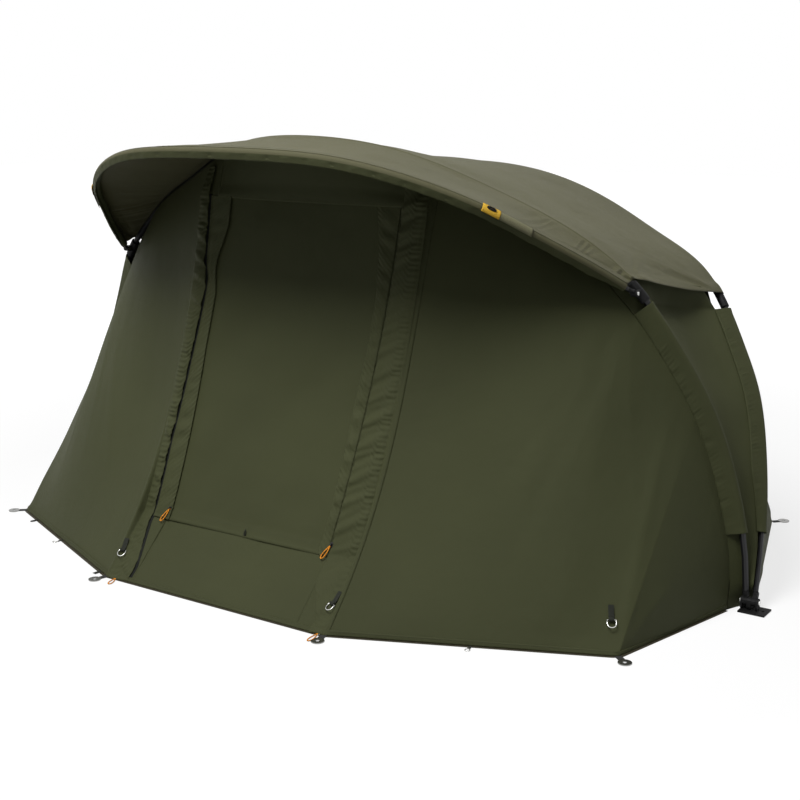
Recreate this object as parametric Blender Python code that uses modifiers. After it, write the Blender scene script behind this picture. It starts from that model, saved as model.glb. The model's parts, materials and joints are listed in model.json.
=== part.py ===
"""A one-person bivvy tent: two sprung ribs on a pair of ground hubs, a peak rib for the hood,
a flat groundsheet, and the fabric walls that the ribs hold up.

Metres, +Z up, the door to -Y. The origin lies on the ground, midway between the two hubs.
"""
import math

import bmesh
import bpy
import numpy as np
from mathutils import Matrix, Vector

# Clearances and fabric
FIT = 0.0003              # between pieces that touch
SEAM = 0.0008             # between two fabric pieces that are sewn edge to edge
CLOTH = 0.003             # wall thickness of a fabric panel, hems included
POCKET_CLOTH = 0.0014     # fabric of a pole pocket
HEM_LIFT = 0.0006         # a hem's height over the ground

# Hubs
HUB_HALF_SPAN = 1.392     # middle of the tent to the foot of a front rib
HUB_HEIGHT = 0.030        # hinge pin over the ground
EYE_WIDTH = 0.014         # rod end's eye, along the pin
EYE_RADIUS = 0.0135
PIN_RADIUS = 0.004
PIN_HEAD_RADIUS = 0.0075
PIN_HEAD = 0.003
EAR = 0.006               # outer ears of a hub
EYE_SHOULDER_SHARE = 1.60  # where a rod end widens to its pole, in eye radii from the pin
EYE_SHOULDER = 0.004      # how far its neck reaches into that shoulder
SHANK = 0.034             # hinge pin to the end of a rod end's shank
FOOT_HALF_DEPTH = 0.034
FOOT_THICKNESS = 0.006
FOOT_TOE = 0.030          # the foot plate past its outer ear
FOOT_PEG_HOLE_RADIUS = 0.005
FOOT_CORNER = 0.0015

# Poles
FRONT_POLE_RADIUS = 0.010
REAR_POLE_RADIUS = 0.008
PEAK_POLE_RADIUS = 0.007
FRONT_HEIGHT = 1.401      # top of the front rib over the ground, at its centre line
FRONT_LEAN = 0.390        # how far the fabric bows the front rib forward
REAR_RISE = 1.398         # length of the rear rib's plane, from the hinge to its top
REAR_ANGLE = math.radians(26)
REAR_OUTSET = 0.028       # the rear rib's foot stands outside the front rib's
PEAK_REACH = 0.765        # hinge to tip of the peak rib
PEAK_ANGLE = math.radians(32.5)
KNUCKLE_HEIGHT = 0.965    # knuckles of the front rib
REAR_KNUCKLE_HEIGHT = 0.885
KNUCKLE_HALF_LENGTH = 0.034
KNUCKLE_WALL = 0.005
CHEEK = 0.005             # cheeks that hold the peak rib's tip
TONGUE = 0.010            # eye of the peak rib's tip
CHEEK_RADIUS = 0.010
PEAK_OFFSET = 0.030       # peak rib's hinge in front of the front pole
PEAK_SHANK = 0.030
KNUCKLE_PIN_RADIUS = 0.003
ARCH_STEPS = 15           # stations along half an arch, shared by the pole and its fabric
LOWER_STEPS = 10

# Shape of the front rib's right half, from its foot to its top:
# shares of HUB_HALF_SPAN, of FRONT_LEAN and of the height over the hinge
FRONT_RIB_SHARES = (
    (1.000, 0.000, 0.000),
    (0.989, 0.000, 0.128),
    (0.958, 0.008, 0.266),
    (0.903, 0.051, 0.423),
    (0.823, 0.154, 0.573),
    (0.751, 0.262, 0.682),
    (0.654, 0.346, 0.770),
    (0.548, 0.474, 0.837),
    (0.441, 0.577, 0.888),
    (0.320, 0.731, 0.942),
    (0.213, 0.859, 0.977),
    (0.000, 1.000, 1.000),
)
# Shares of the rear rib's half span and of REAR_RISE
REAR_RIB_SHARES = (
    (1.000, 0.000),
    (0.983, 0.162),
    (0.948, 0.333),
    (0.899, 0.479),
    (0.852, 0.565),
    (0.783, 0.675),
    (0.718, 0.749),
    (0.589, 0.828),
    (0.469, 0.892),
    (0.287, 0.964),
    (0.106, 0.996),
    (0.000, 1.000),
)
# Shares of the knuckles' half span and of PEAK_REACH
PEAK_RIB_SHARES = (
    (1.000, 0.000),
    (0.919, 0.223),
    (0.823, 0.440),
    (0.737, 0.621),
    (0.612, 0.791),
    (0.523, 0.874),
    (0.368, 0.961),
    (0.191, 0.993),
    (0.000, 1.000),
)

# Ground plan of the hem
DOOR_FOOT_HALF_WIDTH = 0.444
DOOR_FOOT_REACH = 0.885
CORNER_HALF_WIDTH = 1.222
CORNER_REACH = 0.544
REAR_CORNER_HALF_WIDTH = 1.168
REAR_CORNER_REACH = 0.892
REAR_MIDDLE_HALF_WIDTH = 0.450
REAR_DEPTH = 1.120
GROUNDSHEET_INSET = 0.0082
GROUNDSHEET_THICKNESS = 0.0025

# Front wall and door
HEADER_DEPTH = 0.190      # the door's top edge below the top of the front rib
DOOR_TOP_REACH = 0.356    # how far forward the door's top edge is
SKIRT_HEIGHT = 0.180      # the door's bottom edge over the ground
SKIRT_REACH = 0.700       # how far forward the door's bottom edge is
DOOR_SAG = 0.041          # how far the door's face bows inwards
BOW_POWER = 1.6           # above 1 a wall's bow is fullest below its middle
SLACK_CORNERS = (1.0, 1.8)  # the front wall's bow runs out between these corners of its hem
ZIP_TOP_HALF_WIDTH = 0.372
ZIP_FOOT_HALF_WIDTH = 0.332
FLAP_HALF_WIDTH = 0.460   # outer edge of the storm flaps beside the door
FLAP_PUFF = 0.012         # how far the storm flaps stand out beside the zips
FLAP_EASE = 0.150         # height over which they rise from the skirt
ZIP_WIDTH = 0.010
ROOF_SAG = 0.012
HOOD_SAG = 0.006
REAR_SAG = 0.060

# Pole pockets
POCKET_RADIUS = 0.0135
POCKET_TAIL = 0.055       # pole's centre to the flat edge of a pocket
FRONT_TAIL_ANGLE = math.radians(31)    # heading of that edge from the X axis
REAR_TAIL_ANGLE = math.radians(72.5)
POCKET_EDGE = 0.0025      # half thickness of that edge
POCKET_FLAT = 0.0012      # how far a pocket's flat facets lie inside its round
POCKET_FLAT_SHARE = 0.70  # of the rear pocket's height, up to which the rear wall follows them
POCKET_FOOT = 0.215       # a pocket's lower end, along the rib from the hinge
POCKET_HEAD_GAP = 0.012   # a pocket's upper end below the knuckle
GUSSET_FOOT = 0.140       # the side panels' lower end, along the ribs from the hinge
GUSSET_SHARE = 0.62       # of the way from the rear pole to the front one, below the pockets
RIM_RADIUS = 0.013        # rolled rim of the hood
RIM_START = 0.085         # rim's end, along the peak rib from its hinge
CANOPY_START = 0.095      # the canopies' side hem, along the front rib above its knuckle
REAR_CANOPY_START = 0.055  # the roof's side hem, along the rear rib above its knuckle
RIDGE_GAP = 0.003         # between the roof and the hood, over the front rib
HOOD_SEAT = 0.0012        # how far the hood settles onto the flats of the front pole
ROOF_ROWS = 6
HOOD_ROWS = 5
GUSSET_COLUMNS = 7
GUSSET_DIP_SHARE = 0.167  # how far a side panel dips in, as a share of its depth

# Hardware
ZIP_BODY = (0.009, 0.018, 0.005)
LUG_RADIUS = 0.0045
LUG_WIDTH = 0.004
PULL_WIRE = 0.0015
PULL_EYE_SHARE = 1.40     # a slider's eye, in radii of the pull's wire
PULL_WIDTH = 0.008
PULL_LENGTH = 0.046
PULL_TILT = math.radians(15)  # a pull hangs away from the wall, over the flare of the skirt
RING_WIRE = 0.0016
RING_EYE_SHARE = 1.35     # a strap's loop, in radii of the ring's wire
RING_WIDTH = 0.026
RING_LENGTH = 0.024
STRAP_LENGTH = 0.044
STRAP_WIDTH = 0.016
STRAP_THICKNESS = 0.0024
FLAP_STRAP_LIFT = 0.0028  # a strap's back over the middle of the strip it is sewn to
CORNER_STRAP_LIFT = 0.0006
EYELET_RADIUS = 0.0205
EYELET_HOLE_RADIUS = 0.006
EYELET_THICKNESS = 0.003
TAB_LENGTH = 0.046        # hem to the middle of a pegging eyelet
TAB_WIDTH = 0.020
TAB_THICKNESS = 0.002
TAB_START = 0.0014        # a tab's sewn end outside the middle of the hem
SLIDER_LIFT = 0.0005      # slider over the zip's face
ZIP_END = 0.020           # slider's middle above the zip's lower end
FLAP_RING_LEVEL = 0.070   # rings at the storm flaps' feet, over the ground
CORNER_RING_LEVEL = 0.085  # ring above the corner peg
CORNER_RING_SHARE = 3.45  # where that ring's strap is sewn, counted in rulings of the panel
SPAN_STEP_SHARE = 0.05
DOOR_PEG_SHARES = (0.25, -1.0)   # headings of the pegging tabs on the right
CORNER_PEG_SHARES = (0.75, -0.66)
REAR_PEG_SHARES = (0.70, 0.71)

# Columns of the storm flap between the zip and the side panel
FLAP_COLUMN_SHARES = (0.0, 0.25, 0.75)
# Rulings of a front panel: a length along the rib's half, as a share, and the hem's place,
# counted in corners from the middle of the door
RULING_SHARES = ((1.0, 0.0), (0.765, 1.0), (0.63, 1.42), (0.50, 1.72), (0.36, 1.90), (0.27, 2.0),
                 (0.17, 2.10), (0.10, 2.35), (0.035, 3.0))
# Rulings of the rear wall, in the same way from the hub
REAR_RULING_SHARES = ((0.035, 0.0), (0.14, 0.55), (0.26, 0.88), (0.36, 1.0), (0.50, 1.18),
                      (0.66, 1.55), (0.80, 2.0), (1.0, 3.0))
SKIRT_ROWS = 3
DOOR_ROWS = 8
HEADER_ROWS = 3
REAR_ROWS = 8
SIDE_STEPS = 13

SIDES = (("right", 1), ("left", -1))

for leftover in list(bpy.data.objects):
    bpy.data.objects.remove(leftover)

model = bpy.data.collections.new("bivvy_tent")
cutters = bpy.data.collections.new("cutters")
for group in (model, cutters):
    bpy.context.scene.collection.children.link(group)


def material(name, colour, roughness, metallic=0.0):
    """A Principled material."""
    made = bpy.data.materials.new(name)
    made.use_nodes = True
    shader = made.node_tree.nodes["Principled BSDF"]
    shader.inputs["Base Color"].default_value = (*colour, 1.0)
    shader.inputs["Roughness"].default_value = roughness
    shader.inputs["Metallic"].default_value = metallic
    return made


ROOF_CLOTH = material("roof_cloth", (0.120, 0.115, 0.075), 0.75)
WALL_CLOTH = material("wall_cloth", (0.052, 0.058, 0.032), 0.80)
BLACK_METAL = material("black_metal", (0.012, 0.012, 0.013), 0.40, 0.6)
BLACK_PLASTIC = material("black_plastic", (0.015, 0.015, 0.015), 0.50)
STEEL = material("steel", (0.55, 0.55, 0.53), 0.30, 1.0)
WEBBING = material("webbing", (0.020, 0.020, 0.019), 0.85)
ORANGE_CORD = material("orange_cord", (0.85, 0.32, 0.03), 0.60)
SHEETING = material("sheeting", (0.020, 0.022, 0.018), 0.70)


# Curves

def spline(values, count):
    """A natural cubic spline through the points, sampled evenly along its chords."""
    values = np.asarray(values, float)
    knots = np.concatenate([[0.0], np.cumsum(np.linalg.norm(np.diff(values, axis=0), axis=1))])
    step = np.diff(knots)
    system = np.eye(len(knots))
    load = np.zeros_like(values)
    for i in range(1, len(knots) - 1):
        system[i, i - 1:i + 2] = step[i - 1], 2 * (step[i - 1] + step[i]), step[i]
        load[i] = 6 * (np.diff(values[i:i + 2], axis=0)[0] / step[i]
                       - np.diff(values[i - 1:i + 1], axis=0)[0] / step[i - 1])
    bend = np.linalg.solve(system, load)
    places = np.linspace(knots[0], knots[-1], count)
    span = np.clip(np.searchsorted(knots, places, side="right") - 1, 0, len(step) - 1)
    h = step[span][:, None]
    a = (knots[span + 1] - places)[:, None] / h
    b = 1 - a
    return (a * values[span] + b * values[span + 1]
            + ((a ** 3 - a) * bend[span] + (b ** 3 - b) * bend[span + 1]) * h * h / 6)


def unit(vector):
    vector = np.asarray(vector, float)
    return vector / np.linalg.norm(vector)


def ease(value, low, high):
    """0 below low, 1 above high, and a smooth step between them."""
    t = min(max((value - low) / (high - low), 0.0), 1.0)
    return t * t * (3 - 2 * t)


class Rib:
    """The right half of a rib's centre line, read by the length along it from its foot."""

    def __init__(self, points):
        points = np.asarray(points, float)
        mirrored = points[::-1][1:] * (-1, 1, 1)
        dense = spline(np.vstack([points, mirrored]), 1601)[:801]
        run = np.linalg.norm(np.diff(dense, axis=0), axis=1)
        self.line = dense
        self.along = np.concatenate([[0.0], np.cumsum(run)])
        self.length = self.along[-1]

    def at(self, place):
        return np.array([np.interp(place, self.along, self.line[:, k]) for k in range(3)])

    def tangent(self, place):
        small = self.length / len(self.along)
        low = max(place - small, 0.0)
        high = place + small
        if high > self.length:
            return unit((-1.0, 0.0, 0.0))
        return unit(self.at(high) - self.at(low))

    def square(self, place, aim):
        """The direction nearest to aim that is square to the rib."""
        along = self.tangent(place)
        return unit(aim - along * (aim @ along))

    def outward(self, place):
        """Square to the rib, away from the middle of the tent."""
        back = self.square(place, np.array((0.0, 1.0, 0.0)))
        return unit(np.cross(back, self.tangent(place)))

    def height(self, level):
        """The length along the rib at which it reaches a height."""
        return float(np.interp(level, self.line[:, 2], self.along))


def front_rib_line():
    rise = FRONT_HEIGHT - HUB_HEIGHT
    return Rib([(x * HUB_HALF_SPAN, -lean * FRONT_LEAN, HUB_HEIGHT + up * rise)
                for x, lean, up in FRONT_RIB_SHARES])


def rear_rib_line():
    half = HUB_HALF_SPAN + REAR_OUTSET
    return Rib([(x * half, up * REAR_RISE * math.sin(REAR_ANGLE),
                 HUB_HEIGHT + up * REAR_RISE * math.cos(REAR_ANGLE))
                for x, up in REAR_RIB_SHARES])


FRONT = front_rib_line()
REAR = rear_rib_line()
FRONT_KNUCKLE = FRONT.height(KNUCKLE_HEIGHT)
REAR_KNUCKLE = REAR.height(REAR_KNUCKLE_HEIGHT)
KNUCKLE_POINT = FRONT.at(FRONT_KNUCKLE)
PEAK_PIVOT = KNUCKLE_POINT + (0.0, -PEAK_OFFSET, 0.0)


def peak_rib_line():
    forward = np.array((0.0, -math.cos(PEAK_ANGLE), math.sin(PEAK_ANGLE))) * PEAK_REACH
    return Rib([np.array((x * PEAK_PIVOT[0], PEAK_PIVOT[1], PEAK_PIVOT[2])) + forward * reach
                for x, reach in PEAK_RIB_SHARES])


PEAK = peak_rib_line()


# Pivots: one empty on each joint's axis

pivots = {}


def pivot(name, place, parent=None):
    """An empty on a joint's axis; the pieces of one moving body hang on it."""
    empty = bpy.data.objects.new(name + "_axis", None)
    model.objects.link(empty)
    place = Vector(place)
    if parent:
        empty.parent = pivots[parent][0]
        empty.location = place - pivots[parent][1]
    else:
        empty.location = place
    pivots[name] = (empty, place)


def attach(thing, body):
    """Hangs an object, whose location is still in the tent's frame, on a body's pivot."""
    if body:
        thing.parent = pivots[body][0]
        thing.location = thing.location - pivots[body][1]


def add(name, data, body, paint, group=model):
    thing = bpy.data.objects.new(name, data)
    group.objects.link(thing)
    if paint:
        data.materials.append(paint)
    if group is cutters:
        thing.hide_render = True
        thing.display_type = "WIRE"
    else:
        attach(thing, body)
    return thing


def set_origin(thing, place):
    """Moves a mesh object's origin to a place in the tent's frame; the shape stays."""
    place = Vector(place)
    base = Vector()
    for empty, spot in pivots.values():
        if thing.parent == empty:
            base = spot
    thing.data.transform(Matrix.Translation(thing.location + base - place))
    thing.location = place - base


def smooth(mesh, angle=math.radians(35)):
    mesh.shade_smooth()
    mesh.set_sharp_from_angle(angle=angle)


# Shapes

def sheet(name, rows, body, paint, thickness=CLOTH):
    """A fabric panel: a grid of points with a wall thickness."""
    count = len(rows[0])
    mesh = bpy.data.meshes.new(name)
    points = [tuple(point) for row in rows for point in row]
    faces = [(r * count + c, r * count + c + 1, (r + 1) * count + c + 1, (r + 1) * count + c)
             for r in range(len(rows) - 1) for c in range(count - 1)]
    mesh.from_pydata(points, [], faces)
    panel = add(name, mesh, body, paint)
    set_origin(panel, np.mean(points, axis=0))
    wall = panel.modifiers.new("cloth", "SOLIDIFY")
    wall.thickness = thickness
    wall.offset = 0.0
    wall.use_even_offset = True
    smooth(mesh)
    return panel


def rings_mesh(name, rings, capped=True):
    """A skin over rings of points, each ring with as many points as the next."""
    build = bmesh.new()
    loops = [[build.verts.new(tuple(point)) for point in ring] for ring in rings]
    count = len(loops[0])
    for low, high in zip(loops, loops[1:]):
        for i in range(count):
            j = (i + 1) % count
            build.faces.new((low[i], low[j], high[j], high[i]))
    if capped:
        build.faces.new(loops[0][::-1])
        build.faces.new(loops[-1])
        bmesh.ops.recalc_face_normals(build, faces=build.faces)
    mesh = bpy.data.meshes.new(name)
    build.to_mesh(mesh)
    build.free()
    return mesh


def section_rings(rib, places, section, side, aim):
    """Rings of a section square to a rib. aim gives the section's first direction."""
    rings = []
    for place in places:
        centre = rib.at(place)
        first = rib.square(place, aim(place))
        second = np.cross(rib.tangent(place), first)
        ring = [centre + first * u + second * v for u, v in section]
        rings.append([point * (side, 1, 1) for point in ring])
    return rings


def circle(radius, count):
    return [(radius * math.cos(2 * math.pi * i / count), radius * math.sin(2 * math.pi * i / count))
            for i in range(count)]


def tube(name, points, radius, body, paint, sides=2, loop=False, group=model):
    """A round bar along the points."""
    curve = bpy.data.curves.new(name, "CURVE")
    curve.dimensions = "3D"
    line = curve.splines.new("POLY")
    line.points.add(len(points) - 1)
    start = Vector(points[0])
    for knot, point in zip(line.points, points):
        knot.co = (*(Vector(point) - start), 1.0)
    line.use_cyclic_u = loop
    line.use_smooth = True
    curve.bevel_depth = radius
    curve.bevel_resolution = sides
    curve.use_fill_caps = not loop
    bar = add(name, curve, None, paint, group)
    bar.location = start
    if group is model:
        attach(bar, body)
    return bar


def cylinder(name, radius, length, centre, direction, body, paint, group=model, count=16):
    build = bmesh.new()
    bmesh.ops.create_cone(build, cap_ends=True, segments=count, radius1=radius, radius2=radius,
                          depth=length)
    mesh = bpy.data.meshes.new(name)
    build.to_mesh(mesh)
    build.free()
    smooth(mesh)
    bar = add(name, mesh, None, paint, group)
    bar.location = Vector(centre)
    bar.rotation_mode = "QUATERNION"
    bar.rotation_quaternion = Vector(direction).to_track_quat("Z", "Y")
    if group is model:
        attach(bar, body)
    return bar


def box(name, low, high, body, paint, group=model):
    low = Vector(low)
    high = Vector(high)
    build = bmesh.new()
    bmesh.ops.create_cube(build, size=1.0)
    bmesh.ops.scale(build, vec=high - low, verts=build.verts)
    mesh = bpy.data.meshes.new(name)
    build.to_mesh(mesh)
    build.free()
    block = add(name, mesh, None, paint, group)
    block.location = (low + high) / 2
    if group is model:
        attach(block, body)
    return block


def link_plate(name, start, end, radius, x_low, x_high, body, paint, group=model, steps=7):
    """A plate across X whose outline runs round two points, like a chain's link."""
    start = np.asarray(start, float)
    end = np.asarray(end, float)
    heading = math.atan2(end[2] - start[2], end[1] - start[1])
    outline = []
    for centre, turn in ((end, heading - math.pi / 2), (start, heading + math.pi / 2)):
        for i in range(steps + 1):
            angle = turn + math.pi * i / steps
            outline.append((centre[1] + radius * math.cos(angle), centre[2] + radius * math.sin(angle)))
    rings = [[(x, y, z) for y, z in outline] for x in (x_low, x_high)]
    mesh = rings_mesh(name, rings)
    smooth(mesh)
    return add(name, mesh, body, paint, group)


def join_or_cut(target, tool, operation):
    change = target.modifiers.new(tool.name, "BOOLEAN")
    change.operation = operation
    change.solver = "EXACT"
    change.object = tool


# Bodies

HUB_AXIS = (0.0, 0.0, HUB_HEIGHT)
pivot("rear_rib", HUB_AXIS)
pivot("front_rib", HUB_AXIS, "rear_rib")
pivot("peak_rib", (0.0, PEAK_PIVOT[1], PEAK_PIVOT[2]), "front_rib")


# Hubs, their pins and the rod ends

def rod_end(name, rib, side, eye_radius, width, shank, pin_radius, pole_radius, body):
    """The moulded eye at the foot of a pole."""
    foot = rib.at(0.0)
    mirror = np.array((side, 1, 1))
    eye = cylinder(name, eye_radius, width, foot * mirror, (1, 0, 0), body, BLACK_PLASTIC)
    along = rib.tangent(0.0)
    shoulder = eye_radius * EYE_SHOULDER_SHARE
    neck_end = (foot + along * (shoulder + EYE_SHOULDER)) * mirror
    neck = link_plate(name + "_neck", foot * mirror, neck_end, width / 2,
                      foot[0] * side - width / 2, foot[0] * side + width / 2, None, None, cutters)
    join_or_cut(eye, neck, "UNION")
    middle = foot + along * (shank + shoulder) / 2
    stem = cylinder(name + "_stem", pole_radius, shank - shoulder, middle * mirror, along * mirror,
                    None, None, cutters, 16)
    hole = cylinder(name + "_hole", pin_radius + FIT, width + eye_radius * 2, foot * mirror,
                    (1, 0, 0), None, None, cutters)
    join_or_cut(eye, stem, "UNION")
    join_or_cut(eye, hole, "DIFFERENCE")
    return eye


def hub(label, side):
    front_x = HUB_HALF_SPAN
    rear_x = HUB_HALF_SPAN + REAR_OUTSET
    half_eye = EYE_WIDTH / 2 + FIT
    inner = front_x - half_eye - EAR
    outer = rear_x + half_eye + EAR
    spans = ((inner, front_x - half_eye), (front_x + half_eye, rear_x - half_eye),
             (rear_x + half_eye, outer))
    name = "hub_foot_" + label
    toe = outer + FOOT_TOE
    low_x, high_x = sorted((inner * side, toe * side))
    foot = box(name, (low_x, -FOOT_HALF_DEPTH, 0.0), (high_x, FOOT_HALF_DEPTH, FOOT_THICKNESS),
               None, BLACK_PLASTIC)
    rounding = foot.modifiers.new("corner", "BEVEL")
    rounding.width = FOOT_CORNER
    rounding.segments = 2
    for i, (low, high) in enumerate(spans):
        x_low, x_high = sorted((low * side, high * side))
        ear = link_plate(f"{name}_ear_{i}", (0, 0, FOOT_THICKNESS / 2 + EYE_RADIUS),
                         (0, 0, HUB_HEIGHT), EYE_RADIUS, x_low, x_high, None, None, cutters)
        join_or_cut(foot, ear, "UNION")
    centre = ((inner + outer) / 2 * side, 0.0, HUB_HEIGHT)
    length = outer - inner
    hole = cylinder(name + "_hole", PIN_RADIUS + FIT, length + EAR, centre, (1, 0, 0),
                    None, None, cutters)
    join_or_cut(foot, hole, "DIFFERENCE")
    peg_hole = cylinder(name + "_peg", FOOT_PEG_HOLE_RADIUS, FOOT_THICKNESS * 3,
                        ((outer + FOOT_TOE / 2) * side, 0.0, 0.0), (0, 0, 1), None, None, cutters)
    join_or_cut(foot, peg_hole, "DIFFERENCE")
    pin = cylinder("hub_pin_" + label, PIN_RADIUS, length + 2 * FIT + PIN_HEAD, centre, (1, 0, 0),
                   None, STEEL)
    for end in (-1, 1):
        head_x = centre[0] + end * (length / 2 + FIT + PIN_HEAD / 2)
        head = cylinder(f"hub_pin_{label}_head_{end + 1}", PIN_HEAD_RADIUS, PIN_HEAD,
                        (head_x, 0.0, HUB_HEIGHT), (1, 0, 0), None, None, cutters)
        join_or_cut(pin, head, "UNION")


for label, side in SIDES:
    hub(label, side)
    rod_end("front_rod_end_" + label, FRONT, side, EYE_RADIUS, EYE_WIDTH, SHANK, PIN_RADIUS,
            FRONT_POLE_RADIUS, "front_rib")
    rod_end("rear_rod_end_" + label, REAR, side, EYE_RADIUS, EYE_WIDTH, SHANK, PIN_RADIUS,
            REAR_POLE_RADIUS, "rear_rib")
    rod_end("peak_tip_" + label, PEAK, side, CHEEK_RADIUS, TONGUE, PEAK_SHANK, KNUCKLE_PIN_RADIUS,
            PEAK_POLE_RADIUS, "peak_rib")


# Poles

def lower_places(rib_knuckle):
    """Stations along a lower pole, closer together inside the knuckle."""
    bare = np.linspace(SHANK + FIT, rib_knuckle - KNUCKLE_HALF_LENGTH - KNUCKLE_WALL, LOWER_STEPS)
    end = rib_knuckle - FIT / 2
    return [*bare, rib_knuckle - KNUCKLE_HALF_LENGTH / 2, end - KNUCKLE_WALL, end]


def arch_places(rib, rib_knuckle, canopy_start):
    """Stations along half an arch: a few in its knuckle, then the canopy's own."""
    start = rib_knuckle + FIT / 2
    shares = np.linspace(rib_knuckle + canopy_start, rib.length, ARCH_STEPS)
    return [start, start + KNUCKLE_WALL, rib_knuckle + KNUCKLE_HALF_LENGTH / 2,
            rib_knuckle + KNUCKLE_HALF_LENGTH + KNUCKLE_WALL, *shares]


def pole(name, rib, places, radius, side, body):
    points = [rib.at(place) * (side, 1, 1) for place in places]
    return tube(name, points, radius, body, BLACK_METAL)


def arch(name, rib, places, radius, body):
    right = [rib.at(place) for place in places]
    left = [point * (-1, 1, 1) for point in right[-2::-1]]
    return tube(name, right + left, radius, body, BLACK_METAL)


for label, side in SIDES:
    pole("front_pole_" + label, FRONT, lower_places(FRONT_KNUCKLE), FRONT_POLE_RADIUS, side,
         "front_rib")
    pole("rear_pole_" + label, REAR, lower_places(REAR_KNUCKLE), REAR_POLE_RADIUS, side, "rear_rib")
RIM_PLACES = np.linspace(RIM_START, PEAK.length, ARCH_STEPS)
arch("front_arch_pole", FRONT, arch_places(FRONT, FRONT_KNUCKLE, CANOPY_START), FRONT_POLE_RADIUS,
     "front_rib")
arch("rear_arch_pole", REAR, arch_places(REAR, REAR_KNUCKLE, REAR_CANOPY_START), REAR_POLE_RADIUS,
     "rear_rib")
arch("peak_pole", PEAK, [PEAK_SHANK + FIT, PEAK_SHANK + FIT + KNUCKLE_WALL, *RIM_PLACES],
     PEAK_POLE_RADIUS, "peak_rib")


# Knuckles

def collar(name, rib, middle, radius, side, body):
    """The moulded sleeve that joins a lower pole to its arch."""
    places = np.linspace(middle - KNUCKLE_HALF_LENGTH, middle + KNUCKLE_HALF_LENGTH, 5)
    outer = section_rings(rib, places, circle(radius + FIT * 2 + KNUCKLE_WALL, 16), side, rib.outward)
    mesh = rings_mesh(name, outer)
    smooth(mesh)
    block = add(name, mesh, body, BLACK_PLASTIC)
    if block.parent:
        block.data.transform(Matrix.Translation(-pivots[body][1]))
        block.location = (0, 0, 0)
    overrun = KNUCKLE_WALL
    bore_places = np.linspace(middle - KNUCKLE_HALF_LENGTH - overrun,
                              middle + KNUCKLE_HALF_LENGTH + overrun, 5)
    bore = rings_mesh(name + "_bore", section_rings(rib, bore_places, circle(radius + FIT * 2, 16),
                                                    side, rib.outward))
    return block, add(name + "_bore", bore, None, None, cutters)


for label, side in SIDES:
    block, bore = collar("front_knuckle_" + label, FRONT, FRONT_KNUCKLE, FRONT_POLE_RADIUS, side,
                         "front_rib")
    mirror = np.array((side, 1, 1))
    centre = KNUCKLE_POINT * mirror
    hinge = PEAK_PIVOT * mirror
    for end in (-1, 1):
        inner = centre[0] + end * (TONGUE / 2 + FIT)
        outer = inner + end * CHEEK
        x_low, x_high = sorted((inner, outer))
        cheek = link_plate(f"front_knuckle_{label}_cheek_{end + 1}", centre, hinge, CHEEK_RADIUS,
                           x_low, x_high, None, None, cutters)
        join_or_cut(block, cheek, "UNION")
    join_or_cut(block, bore, "DIFFERENCE")
    width = TONGUE + 2 * FIT + 2 * CHEEK
    hole = cylinder(f"front_knuckle_{label}_hole", KNUCKLE_PIN_RADIUS + FIT, width * 2, hinge,
                    (1, 0, 0), None, None, cutters)
    join_or_cut(block, hole, "DIFFERENCE")
    pin = cylinder("knuckle_pin_" + label, KNUCKLE_PIN_RADIUS, width + 2 * FIT + PIN_HEAD / 2, hinge,
                   (1, 0, 0), "front_rib", STEEL)
    for end in (-1, 1):
        head = cylinder(f"knuckle_pin_{label}_head_{end + 1}", KNUCKLE_PIN_RADIUS * 2, PIN_HEAD / 2,
                        hinge + (end * (width / 2 + FIT + PIN_HEAD / 4), 0, 0), (1, 0, 0),
                        None, None, cutters)
        join_or_cut(pin, head, "UNION")
    block, bore = collar("rear_knuckle_" + label, REAR, REAR_KNUCKLE, REAR_POLE_RADIUS, side,
                         "rear_rib")
    join_or_cut(block, bore, "DIFFERENCE")


# Pole pockets

FRONT_TAIL_AIM = np.array((-math.cos(FRONT_TAIL_ANGLE), -math.sin(FRONT_TAIL_ANGLE), 0.0))
REAR_TAIL_AIM = np.array((-math.cos(REAR_TAIL_ANGLE), -math.sin(REAR_TAIL_ANGLE), 0.0))


def pocket_section(steps=8):
    """Half a turn round the pole that runs out into a flat edge."""
    touch = math.acos((POCKET_RADIUS - POCKET_EDGE) / POCKET_TAIL)
    section = []
    for i in range(steps):
        angle = touch + (2 * math.pi - 2 * touch) * i / (steps - 1)
        section.append((POCKET_RADIUS * math.cos(angle), POCKET_RADIUS * math.sin(angle)))
    section.append((POCKET_TAIL, -POCKET_EDGE))
    section.append((POCKET_TAIL, POCKET_EDGE))
    return section


def pocket(name, rib, end, aim, side, body):
    places = np.linspace(POCKET_FOOT, end, LOWER_STEPS)
    rings = section_rings(rib, places, pocket_section(), side, lambda place: aim)
    if side < 0:
        rings = [ring[::-1] for ring in rings]
    mesh = rings_mesh(name, rings, capped=False)
    smooth(mesh)
    skin = add(name, mesh, body, WALL_CLOTH)
    set_origin(skin, rings[0][0])
    wall = skin.modifiers.new("cloth", "SOLIDIFY")
    wall.thickness = POCKET_CLOTH
    wall.offset = -1.0
    wall.use_even_offset = True
    return skin


FRONT_POCKET_END = FRONT_KNUCKLE - KNUCKLE_HALF_LENGTH - POCKET_HEAD_GAP
REAR_POCKET_END = REAR_KNUCKLE - KNUCKLE_HALF_LENGTH - POCKET_HEAD_GAP
for label, side in SIDES:
    pocket("front_sleeve_" + label, FRONT, FRONT_POCKET_END, FRONT_TAIL_AIM, side, "front_rib")
    pocket("rear_sleeve_" + label, REAR, REAR_POCKET_END, REAR_TAIL_AIM, side, "rear_rib")


# Front wall

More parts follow.
